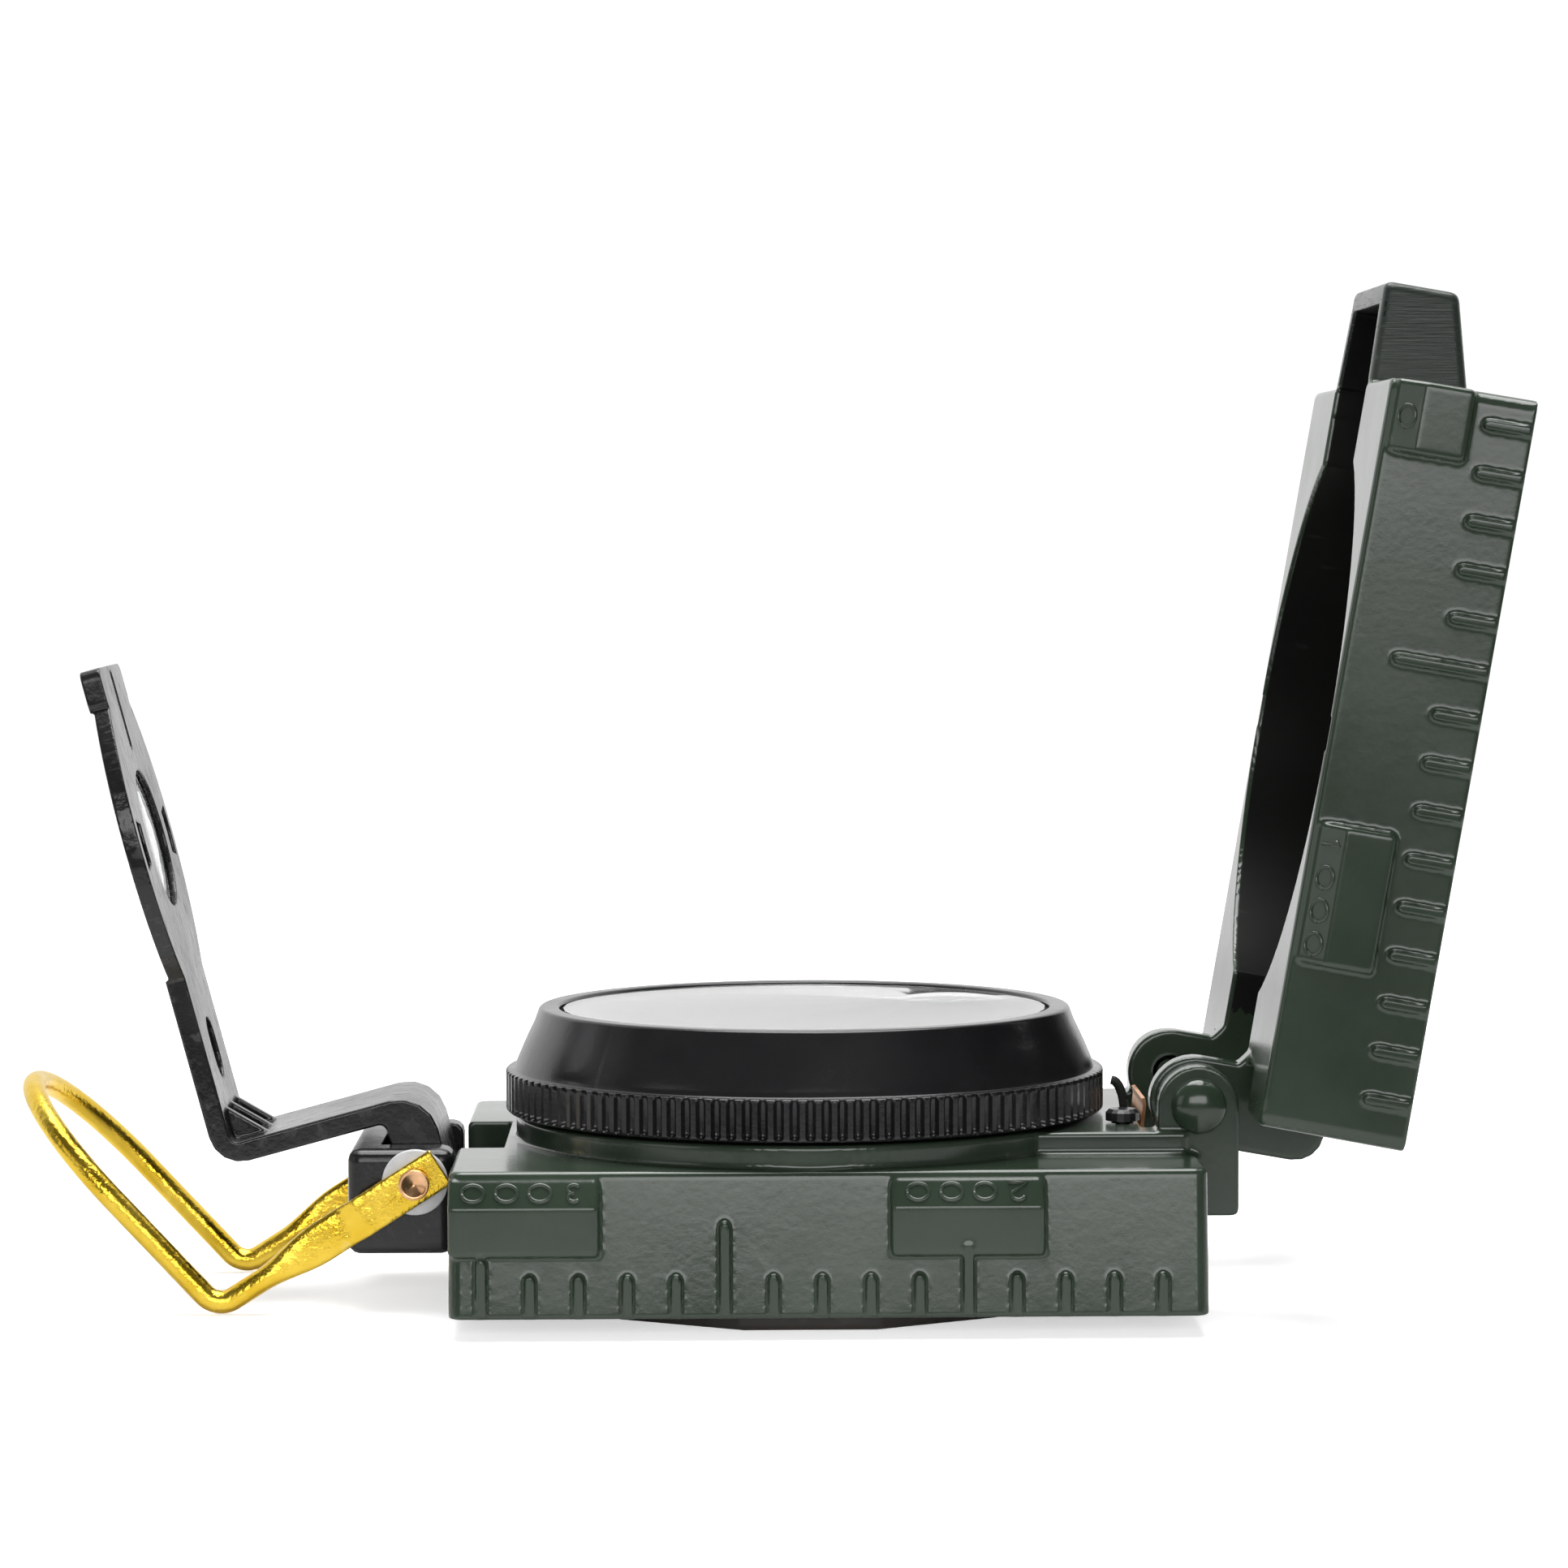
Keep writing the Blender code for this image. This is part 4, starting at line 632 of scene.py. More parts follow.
def bezel_glass():
    """A disc under the bezel's lip, with a raised middle and a magnifier that fill the window."""
    glass = rod(
        "bezel_glass", BEZEL_GLASS_RADIUS, BEZEL_GLASS_BOTTOM, BEZEL_GLASS_TOP, "Z", steps=40)
    crown = rod(
        "glass_crown", BEZEL_WINDOW_RADIUS - GAP, BEZEL_GLASS_TOP - 0.0003, BEZEL_GLASS_CROWN, "Z", steps=40)
    sphere = (MAGNIFIER_RADIUS ** 2 + MAGNIFIER_RISE ** 2) / (2 * MAGNIFIER_RISE)
    centre = BEZEL_GLASS_CROWN + MAGNIFIER_RISE - sphere
    rows = 4
    profile = []
    for step in range(rows + 1):
        radius = MAGNIFIER_RADIUS * step / rows
        profile.append((radius, centre + math.sqrt(sphere ** 2 - radius ** 2)))
    profile += [(MAGNIFIER_RADIUS, BEZEL_GLASS_CROWN - 0.0005), (0, BEZEL_GLASS_CROWN - 0.0005)]
    bump = turned("magnifier", profile, at=(*MAGNIFIER, 0), closed=False, steps=32)
    return weld(glass, crown, bump)


def lid_cover():
    shell = ruler_shell("lid_cover", TONGUE_SHOULDER, LID_RIB, LID_RIB_HEIGHTS, LID_BOSSES)
    stand = Matrix.Translation((LID_OUTER, 0, 0)) @ Matrix.Rotation(math.radians(-90), 4, "Y")
    lid = settle(shell, stand)
    tongue = wedge(
        "tongue", TONGUE_SHOULDER - 0.0030, TONGUE_TIP,
        (LID_RIM + 0.0001, TONGUE_FOOT_DEPTH + 0.0006, -TONGUE_FOOT_HALF_WIDTH, TONGUE_FOOT_HALF_WIDTH),
        (LID_RIM + 0.0001, TONGUE_TIP_DEPTH, -TONGUE_TIP_HALF_WIDTH, TONGUE_TIP_HALF_WIDTH))
    weld(lid, soften(tongue, 0.0006, 2))
    heel = -ARM_RADIUS + 0.0002
    arm_outline = rounded([
        (0, ARM_RADIUS, 0),
        *[(h, s, 0) for h, s in arc((0, 0), ARM_RADIUS, 100, 250, 12)],
        (ARM_HEEL, heel, 0.0025),
        (ARM_HEEL, 0.0060, 0),
        (LID_RIM + 0.0005, 0.0060, 0),
        (LID_RIM + 0.0001, 0.0050, 0),
        (0.0032, ARM_RADIUS, 0),
    ])
    for side_name, side in (("near", -1), ("far", 1)):
        low, high = sorted((side * (ARM_OUTER - 0.0010), side * (EAR_OUTER + 0.0004)))
        cut(lid, box(
            "ear_notch_" + side_name, (-0.001, low, -0.001), (EAR_NOTCH_DEPTH, high, EAR_NOTCH_LENGTH)))
        low, high = sorted((side * 0.0085, side * ARM_OUTER))
        weld(lid, sheet("arm_" + side_name, arm_outline, "XZ", low, high))
    inner = LID_OUTER - LID_PLATE
    channel = wedge(
        "lid_channel", -0.0100, TONGUE_SHOULDER,
        (-0.0100, inner, -LID_CHANNEL_HINGE, LID_CHANNEL_HINGE),
        (-0.0100, inner, -LID_CHANNEL_FRONT, LID_CHANNEL_FRONT))
    tongue_hollow = wedge(
        "tongue_hollow", TONGUE_SHOULDER - 0.0030, TONGUE_TIP - TONGUE_END_WALL,
        (0, TONGUE_FOOT_DEPTH - TONGUE_WALL + 0.0006,
         -LID_CHANNEL_FRONT - 0.0001, LID_CHANNEL_FRONT + 0.0001),
        (0, TONGUE_TIP_DEPTH - TONGUE_WALL, -0.0084, 0.0084))
    cut(
        lid,
        rod(
            "lid_cavity", LID_CAVITY_RADIUS, 0, inner, "X", at=(0, 0, HINGE_X), steps=ROUND_STEPS),
        channel,
        tongue_hollow,
        box(
            "sight_window",
            (inner - 0.001, -WINDOW_HALF_WIDTH, WINDOW_START),
            (LID_OUTER + 0.001, WINDOW_HALF_WIDTH, WINDOW_END)),
        rod("lid_hinge_hole", HINGE_PIN_RADIUS + GAP, -0.02, 0.02, "Y", steps=SMALL_STEPS),
    )
    return lid


def bracket_side():
    """The bracket seen from the side: a leg, an arm, and a panel that is thinner round the lens."""
    pad_outer = PANEL_INNER - PAD_THICKNESS
    low = LENS_HEIGHT - LENS_LEAF_HALF_CHORD + 0.0002
    high = LENS_HEIGHT + LENS_LEAF_HALF_CHORD - 0.0002
    return rounded([
        (LEG_FACE, 0, 0),
        (LEG_FACE, ARM_HIGH, 0.0034),
        (PANEL_INNER, ARM_HIGH, 0.0006),
        (PANEL_INNER, PANEL_TOP + 0.001, 0),
        (pad_outer, PANEL_TOP + 0.001, 0),
        (pad_outer, high, 0),
        (PANEL_OUTER, high, 0),
        (PANEL_OUTER, low, 0),
        (pad_outer, low, 0),
        (pad_outer, ARM_LOW, 0.0028),
        (LEG_BACK, ARM_LOW, 0.0006),
        (LEG_BACK, 0, 0),
        *[(a, b, 0) for a, b in arc((0, 0), LEG_FACE, 216.4, 350, 12)],
    ])


def bracket_front():
    """The bracket seen from the front, and the holes through its panel."""
    bulge = math.degrees(math.asin(LENS_LEAF_HALF_CHORD / LENS_LEAF_RADIUS))
    middle = BRACKET_HALF_WIDTH - math.sqrt(LENS_LEAF_RADIUS ** 2 - LENS_LEAF_HALF_CHORD ** 2)
    shoulder = LENS_HEIGHT + LENS_LEAF_HALF_CHORD + 0.0005
    outline = [(-BRACKET_HALF_WIDTH, -0.006), (BRACKET_HALF_WIDTH, -0.006)]
    outline += arc((middle, LENS_HEIGHT), LENS_LEAF_RADIUS, -bulge, bulge, 16)
    outline += rounded([
        (PANEL_TOP_HALF_WIDTH, shoulder, 0),
        (PANEL_TOP_HALF_WIDTH, PANEL_TOP, 0.0009),
        (-PANEL_TOP_HALF_WIDTH, PANEL_TOP, 0.0009),
        (-PANEL_TOP_HALF_WIDTH, shoulder, 0),
    ])
    outline += arc((-middle, LENS_HEIGHT), LENS_LEAF_RADIUS, 180 - bulge, 180 + bulge, 16)
    centre = (0, LENS_HEIGHT)
    holes = [
        circle(centre, LENS_LIP_RADIUS, 32),
        slot((0, LENS_HEIGHT + 0.0115), SIGHT_SLIT_HALF_WIDTH, 0.0036, 4),
        slot((0, 0.0147), 0.0020, 0.00275, 8),
    ]
    for turn in (0, 180):
        outer = arc(centre, SIDE_SLOT_OUTER, turn - 12, turn + 12, 6)
        inner = arc(centre, SIDE_SLOT_INNER, turn + 12, turn - 12, 6)
        holes.append(outer + inner)
    return outline, holes


def lens_bracket():
    bracket = sheet("lens_bracket", bracket_side(), "XZ", -0.014, 0.014)
    outline, holes = bracket_front()
    combine(bracket, sheet("bracket_outline", outline, "YZ", -0.03, 0.01, holes), "INTERSECT")
    gussets = []
    for y in (-0.0042, 0, 0.0042):
        corner = (PANEL_INNER - 0.0003, ARM_HIGH - 0.0003)
        outline = [corner, (corner[0] + 0.0036, corner[1]), (corner[0], corner[1] + 0.0036)]
        gussets.append(sheet("gusset", outline, "XZ", y - 0.0005, y + 0.0005))
    weld(bracket, merge("gussets", gussets))
    cut(
        bracket,
        rod(
            "lens_pocket", LENS_RADIUS + GAP, PANEL_OUTER - 0.005, PANEL_INNER - 0.0004, "X",
            at=(0, 0, LENS_HEIGHT), steps=32),
        rod("bracket_bore", PIN_RADIUS + GAP, -0.02, 0.02, "Y", steps=24),
        box("leg_hollow", (-0.0040, -0.0050, 0.0030), (0.0006, 0.0050, 0.0046)),
    )
    return bracket


def blend(share):
    """An S curve from 0 to 1."""
    share = min(max(share, 0.0), 1.0)
    return share * share * (3 - 2 * share)


def ring_section(station, sides=16):
    """Points round one station: a rounded bar on the lug and a circle on the wire."""
    centre, forward, flat, wide, thick = station
    thin = forward.cross(flat)
    power = 0.35 + 0.65 * thick / wide
    points = []
    for side in range(sides):
        angle = 2 * math.pi * (side + 0.5) / sides
        u = math.copysign(abs(math.cos(angle)) ** power, math.cos(angle)) * wide
        v = math.copysign(abs(math.sin(angle)) ** power, math.sin(angle)) * thick
        points.append(centre + flat * u + thin * v)
    return points


# ------------------------------------------------------------------- materials


def add_node(tree, kind, inputs=(), **settings):
    """A shader node; each input is a value or another node's output."""
    made = tree.nodes.new(kind)
    for key, value in settings.items():
        setattr(made, key, value)
    for key, value in dict(inputs).items():
        if isinstance(value, bpy.types.NodeSocket):
            tree.links.new(value, made.inputs[key])
        else:
            made.inputs[key].default_value = value
    return made


def spread(tree, value, low, high, out_low, out_high):
    """Remap a value, clamped."""
    made = add_node(tree, "ShaderNodeMapRange", {
        "Value": value, "From Min": low, "From Max": high, "To Min": out_low, "To Max": out_high})
    return made.outputs["Result"]


def blend_colours(tree, share, first, second):
    """Mix two colours; each is an (r, g, b) tuple or a socket."""
    made = add_node(tree, "ShaderNodeMix", {"Factor": share}, data_type="RGBA")
    for key, value in ((6, first), (7, second)):
        if isinstance(value, bpy.types.NodeSocket):
            tree.links.new(value, made.inputs[key])
        else:
            made.inputs[key].default_value = (*value, 1)
    return made.outputs[2]


def grain_field(tree, place, scale, stretch=(1, 1, 1), detail=3.0):
    """Noise in metres: scale is about how many lumps fit in a metre."""
    moved = add_node(tree, "ShaderNodeMapping", {"Vector": place, "Scale": stretch})
    noise = add_node(tree, "ShaderNodeTexNoise", {
        "Vector": moved.outputs["Vector"], "Scale": scale, "Detail": detail, "Roughness": 0.55})
    return noise.outputs["Fac"]


def surface(name, colours, roughness, metallic=0.0, grains=(), edge=None, patch=70.0, coat=0.0, specular=0.5,
            streak=None):
    """A procedural finish: patchy colour, varied roughness, layered bumps and paler edges."""
    made = bpy.data.materials.new(name)
    made.use_nodes = True
    tree = made.node_tree
    shader = tree.nodes["Principled BSDF"]
    place = add_node(tree, "ShaderNodeTexCoord").outputs["Object"]
    patches = grain_field(tree, place, patch, detail=5.0)
    share = spread(tree, patches, 0.35, 0.65, 0.0, 1.0)
    colour = blend_colours(tree, share, *colours)
    speck = grain_field(tree, place, 2600.0, detail=2.0)
    colour = blend_colours(tree, spread(tree, speck, 0.62, 0.74, 0.0, 0.25), colour, colours[1])
    rough = spread(tree, patches, 0.3, 0.7, *roughness)
    if streak:
        stretch, scale, amount = streak
        lines = grain_field(tree, place, scale, stretch, 4.0)
        fine = spread(tree, lines, 0.56, 0.70, 0.0, amount)
        colour = blend_colours(tree, fine, colour, edge)
        added = add_node(tree, "ShaderNodeMath", {0: rough, 1: fine}, operation="ADD")
        rough = added.outputs[0]
    if edge:
        bend = add_node(tree, "ShaderNodeNewGeometry").outputs["Pointiness"]
        worn = spread(tree, bend, 0.53, 0.60, 0.0, 0.35)
        broken = add_node(tree, "ShaderNodeMath", {0: worn, 1: share}, operation="MULTIPLY")
        colour = blend_colours(tree, broken.outputs[0], colour, edge)
    tree.links.new(colour, shader.inputs["Base Color"])
    tree.links.new(rough, shader.inputs["Roughness"])
    shader.inputs["Metallic"].default_value = metallic
    shader.inputs["Specular IOR Level"].default_value = specular
    shader.inputs["Coat Weight"].default_value = coat
    shader.inputs["Coat Roughness"].default_value = 0.12
    normal = None
    for scale, stretch, height, strength in grains:
        lumps = grain_field(tree, place, scale, stretch)
        bump = add_node(tree, "ShaderNodeBump", {"Height": lumps, "Distance": height, "Strength": strength})
        if normal:
            tree.links.new(normal, bump.inputs["Normal"])
        normal = bump.outputs["Normal"]
    if normal:
        tree.links.new(normal, shader.inputs["Normal"])
    return made


def clear_glass(name, colour, roughness):
    """Clear glass with a faint haze of dust."""
    made = surface(name, (colour, colour), roughness, patch=300.0)
    shader = made.node_tree.nodes["Principled BSDF"]
    shader.inputs["Transmission Weight"].default_value = 0.92
    shader.inputs["IOR"].default_value = 1.49
    return made


EVEN = (1, 1, 1)
OLIVE = surface(
    "olive_paint", ((0.025, 0.040, 0.025), (0.034, 0.052, 0.034)), (0.14, 0.23), coat=0.2, specular=0.5,
    grains=((1500.0, EVEN, 0.00003, 0.3), (320.0, EVEN, 0.00006, 0.15)), edge=(0.10, 0.115, 0.09))
# Near-black, barely shiny finish for the faces inside the lid's cavity and channel.
LID_INSIDE_DARK = surface(
    "lid_inside_black", ((0.004, 0.005, 0.004), (0.007, 0.008, 0.006)), (0.38, 0.5), specular=0.15,
    grains=((1500.0, EVEN, 0.00003, 0.2),), edge=(0.03, 0.03, 0.03))
MACHINED_OLIVE = surface(
    "tongue_olive", ((0.020, 0.028, 0.022), (0.030, 0.039, 0.031)), (0.24, 0.36), specular=0.4,
    grains=((260.0, (1, 1, 22), 0.00006, 0.45), (1500.0, EVEN, 0.00003, 0.2)), edge=(0.09, 0.10, 0.085),
    streak=((0.6, 1, 26), 260.0, 0.22))
COVER_BROWN = surface(
    "cover_brown", ((0.055, 0.046, 0.040), (0.085, 0.075, 0.066)), (0.38, 0.55),
    grains=((1800.0, EVEN, 0.00003, 0.3),), edge=(0.16, 0.15, 0.14))
BLACK = surface(
    "black_plastic", ((0.006, 0.006, 0.007), (0.012, 0.012, 0.013)), (0.16, 0.28),
    grains=((2200.0, EVEN, 0.00004, 0.35), (420.0, EVEN, 0.00010, 0.2)), edge=(0.06, 0.06, 0.06))
SCUFFED_BLACK = surface(
    "scuffed_plastic", ((0.006, 0.006, 0.007), (0.014, 0.014, 0.015)), (0.12, 0.26),
    grains=((1900.0, EVEN, 0.00008, 0.35), (500.0, (1, 1, 0.3), 0.00014, 0.4)), edge=(0.10, 0.10, 0.10),
    streak=((1, 6, 1), 500.0, 0.25))
NYLON = surface(
    "white_nylon", ((0.62, 0.62, 0.64), (0.74, 0.74, 0.76)), (0.35, 0.5),
    grains=((2400.0, EVEN, 0.00005, 0.4),), edge=(0.8, 0.8, 0.8), patch=500.0)
DIAL_WHITE = surface(
    "dial_white", ((0.70, 0.72, 0.70), (0.78, 0.79, 0.77)), (0.5, 0.6),
    grains=((2500.0, EVEN, 0.00002, 0.2),))
DIAL_INK = surface(
    "dial_ink", ((0.012, 0.012, 0.012), (0.02, 0.02, 0.02)), (0.45, 0.6),
    grains=((2500.0, EVEN, 0.00002, 0.2),))
DIAL_RED = surface(
    "dial_red", ((0.45, 0.02, 0.015), (0.52, 0.03, 0.02)), (0.4, 0.5), grains=((2500.0, EVEN, 0.00002, 0.2),))
STEEL = surface(
    "steel", ((0.50, 0.50, 0.49), (0.62, 0.62, 0.61)), (0.22, 0.38), metallic=1.0,
    grains=((2600.0, (1, 1, 0.2), 0.00003, 0.35),), edge=(0.8, 0.8, 0.8))
DARK_STEEL = surface(
    "dark_steel", ((0.035, 0.042, 0.036), (0.06, 0.066, 0.06)), (0.2, 0.32), metallic=0.7,
    grains=((2600.0, EVEN, 0.00002, 0.25),), edge=(0.3, 0.3, 0.3))
BRASS = surface(
    "brass", ((0.74, 0.48, 0.035), (0.86, 0.60, 0.075)), (0.14, 0.30), metallic=1.0,
    grains=((2600.0, EVEN, 0.00008, 0.6), (800.0, EVEN, 0.00022, 0.5)), edge=(0.95, 0.82, 0.35), patch=260.0)
ROLLED_BRASS = surface(
    "rolled_brass", ((0.74, 0.52, 0.05), (0.84, 0.62, 0.09)), (0.18, 0.30), metallic=1.0,
    grains=((3000.0, EVEN, 0.00002, 0.25),), edge=(0.95, 0.82, 0.35), patch=260.0)
COPPER = surface(
    "copper", ((0.66, 0.33, 0.15), (0.82, 0.50, 0.28)), (0.18, 0.32), metallic=1.0,
    grains=((2400.0, EVEN, 0.00003, 0.35),), edge=(0.9, 0.65, 0.45), patch=600.0)
BRONZE = surface(
    "bronze", ((0.55, 0.22, 0.08), (0.75, 0.36, 0.16)), (0.25, 0.4), metallic=1.0,
    grains=((2400.0, EVEN, 0.00003, 0.3),), edge=(0.9, 0.6, 0.4), patch=400.0)
RUBBER = surface(
    "rubber", ((0.012, 0.012, 0.012), (0.02, 0.02, 0.02)), (0.6, 0.75),
    grains=((2000.0, EVEN, 0.00003, 0.4),))
GLASS = clear_glass("glass", (0.95, 0.97, 0.96), (0.02, 0.07))
LENS_GLASS = clear_glass("lens_glass", (0.96, 0.98, 0.98), (0.01, 0.04))
FLOOR = surface(
    "pale_floor", ((0.93, 0.93, 0.93), (0.95, 0.95, 0.95)), (0.7, 0.8), grains=((300.0, EVEN, 0.00002, 0.1),),
    patch=4.0, specular=0.2)


# ---------------------------------------------------------------------- pieces

LID_FRAME = Matrix.Translation((HINGE_X, 0, HINGE_Z)) @ Matrix.Rotation(LID_LEAN, 4, "Y")
BRACKET_FRAME = Matrix.Translation((PIVOT_X, 0, PIVOT_Z)) @ Matrix.Rotation(BRACKET_LEAN, 4, "Y")
WORLD = Matrix.Identity(4)


def paint(obj, *finishes):
    obj.data.materials.clear()
    for finished in finishes:
        obj.data.materials.append(finished)
    obj.data.shade_smooth()
    return obj


def crease(obj, degrees):
    obj.data.set_sharp_from_angle(angle=math.radians(degrees))
    return obj


def applied(obj):
    """Turn an object's modifiers into its mesh."""
    bpy.context.view_layer.update()
    depsgraph = bpy.context.evaluated_depsgraph_get()
    mesh = bpy.data.meshes.new_from_object(obj.evaluated_get(depsgraph))
    old = obj.data
    obj.modifiers.clear()
    obj.data = mesh
    bpy.data.meshes.remove(old)
    return obj


def cast(obj, voxel, rounds, faces):
    """Round every edge of a solid the way a casting's are."""
    remesh = obj.modifiers.new("cast", "REMESH")
    remesh.mode = "VOXEL"
    remesh.voxel_size = voxel
    remesh.adaptivity = 0
    obj = applied(obj)
    smooth = obj.modifiers.new("smooth", "SMOOTH")
    smooth.factor = 0.5
    smooth.iterations = rounds
    count = 2 * len(obj.data.polygons)
    if count > faces:
        thin = obj.modifiers.new("thin", "DECIMATE")
        thin.ratio = faces / count
    return applied(obj)


def attach(obj, body, slot, *nodes):
    """Hang a piece on the body that carries it and hide the CAD nodes it stands for; the slot is not used."""
    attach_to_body(obj, body)
    if nodes:
        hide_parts(*nodes)
    return obj


def solid(obj, matrix=WORLD):
    """One plain mesh from an object and its Boolean operands."""
    return settle(obj, matrix)


DIGIT_STROKES = {
    "0": [circle((0.5, 0.5), 0.5, 20) + [(1.0, 0.5)]],
    "1": [[(0.28, 0.80), (0.5, 1.0), (0.5, 0.0)]],
    "2": [arc((0.5, 0.72), 0.30, 165, -35, 9) + [(0.1, 0.0), (0.95, 0.0)]],
    "3": [arc((0.48, 0.75), 0.25, 150, -80, 9) + arc((0.48, 0.27), 0.27, 80, -150, 9)],
}
DIGIT_WIDTH = 0.0018
DIGIT_HEIGHT = 0.0015
DIGIT_PITCH = 0.00275
DIGIT_STROKE = 0.00019


def strip_number(name, text, centre, reading, up, matrix):
    """Raised numerals along a slanted strip."""
    reading = Vector(reading).normalized()
    up = Vector(up).normalized()
    curve = bpy.data.curves.new(name, "CURVE")
    curve.dimensions = "3D"
    curve.bevel_depth = DIGIT_STROKE
    curve.bevel_resolution = 3
    curve.use_fill_caps = True
    for place, digit in enumerate(text):
        middle = Vector(centre) + reading * (place - (len(text) - 1) / 2) * DIGIT_PITCH
        for stroke in DIGIT_STROKES[digit]:
            spline = curve.splines.new("POLY")
            spline.points.add(len(stroke) - 1)
            for point, (u, v) in zip(spline.points, stroke):
                at = middle + reading * (u - 0.5) * DIGIT_WIDTH + up * (v - 0.5) * DIGIT_HEIGHT
                point.co = (*at, 1)
    obj = bpy.data.objects.new(name, curve)
    PARTS.objects.link(obj)
    return solid(obj, matrix)


STRIP_MIDDLE = (RULER_HALF_WIDTH + RIM_HALF_WIDTH + 0.0003) / 2
STRIP_HEIGHT = (BOSS_EDGE + BOSS_HIGH) / 2
STRIP_SLOPE = (RULER_HALF_WIDTH - RIM_HALF_WIDTH - 0.0001, BOSS_HIGH - BOSS_EDGE)


def case_numbers():
    for text, (start, end) in zip(("2000", "3000"), CASE_BOSSES):
        centre = (HINGE_X - (start + end) / 2, -STRIP_MIDDLE, RULER_Z + STRIP_HEIGHT)
        number = strip_number(
            "case_number_" + text, text, centre, (-1, 0, 0), (0, -STRIP_SLOPE[0], -STRIP_SLOPE[1]), WORLD)
        attach(paint(number, OLIVE), "case", "olive_paint")


def lid_numbers():
    for text, (start, end) in zip(("1000", "0"), LID_BOSSES):
        centre = (LID_OUTER - STRIP_HEIGHT, -STRIP_MIDDLE, (start + end) / 2)
        number = strip_number(
            "lid_number_" + text, text, centre, (0, 0, -1), (STRIP_SLOPE[1], -STRIP_SLOPE[0], 0), LID_FRAME)
        attach(paint(number, OLIVE), "lid", "olive_paint")


# Voxel size, smoothing rounds and face limit of each cast or moulded solid
METAL_CAST = (0.00016, 5, 190000)
BRACKET_CAST = (0.00011, 4, 150000)
BLOCK_CAST = (0.00011, 4, 90000)
COVER_CAST = (0.00018, 2, 90000)


def case_casting():
    casting = cast(solid(base_case()), *METAL_CAST)
    casting.name = "case_casting"
    attach(paint(casting, OLIVE), "case", "olive_paint", "base_case")


def lid_casting():
    casting = cast(solid(lid_cover()), *METAL_CAST)
    casting.name = "lid_casting"
    paint(casting, OLIVE, LID_INSIDE_DARK, MACHINED_OLIVE)
    reach = 0.00018
    inner = LID_OUTER - LID_PLATE
    # Faces inside the lid's cavity and channel take the near-black finish, and faces past the tongue's
    # shoulder take the tongue finish.
    for face in casting.data.polygons:
        h, y, s = face.center
        radius = math.hypot(y, s - HINGE_X)
        normal = face.normal
        toward_axis = -(normal.y * y + normal.z * (s - HINGE_X)) / max(radius, 0.001)
        toward_middle = -math.copysign(normal.y, y * normal.y)
        in_cavity = radius < LID_CAVITY_RADIUS + reach
        in_channel = abs(y) < LID_CHANNEL_FRONT + reach and 0.0065 < s < TONGUE_TIP - TONGUE_END_WALL + reach
        plate = normal.x < -0.4 and h < inner + reach
        wall = (in_cavity and toward_axis > 0.4) or (in_channel and (toward_middle > 0.4 or normal.z < -0.4))
        if LID_RIM + 0.0004 < h < LID_OUTER - 0.0001 and (in_cavity or in_channel) and (plate or wall):
            face.material_index = 1
        elif s > TONGUE_SHOULDER + 0.0002:
            face.material_index = 2
    casting.data.transform(LID_FRAME)
    attach(casting, "lid", "olive_paint", "lid_cover")


def bracket_moulding():
    moulding = cast(solid(lens_bracket()), *BRACKET_CAST)
    moulding.name = "bracket_moulding"
    moulding.data.transform(BRACKET_FRAME)
    attach(paint(moulding, SCUFFED_BLACK), "lens_arm", "black_plastic", "lens_bracket")


def block_moulding():
    moulding = cast(solid(front_block()), *BLOCK_CAST)
    moulding.name = "block_moulding"
    attach(paint(moulding, BLACK), "case", "black_plastic", "front_block")


def cover_plate():
    plate = cast(solid(bottom_cover()), *COVER_CAST)
    plate.name = "cover_plate"
    attach(paint(plate, COVER_BROWN), "case", "cover_brown", "bottom_cover")


TOOTH_SAMPLES = 12
KNURL_GROOVE_HALF_SHARE = 0.33
KNURL_GROOVE_DEPTH = 0.00052


def groove_depth(share, opening):
    """Depth across one tooth pitch: a concave groove as wide as its opening, 1 at the deepest."""
    half = KNURL_GROOVE_HALF_SHARE * opening
    off = min(share, 1 - share)
    if off >= half:
        return 0.0
    return opening * math.sqrt(1 - (off / half) ** 2)


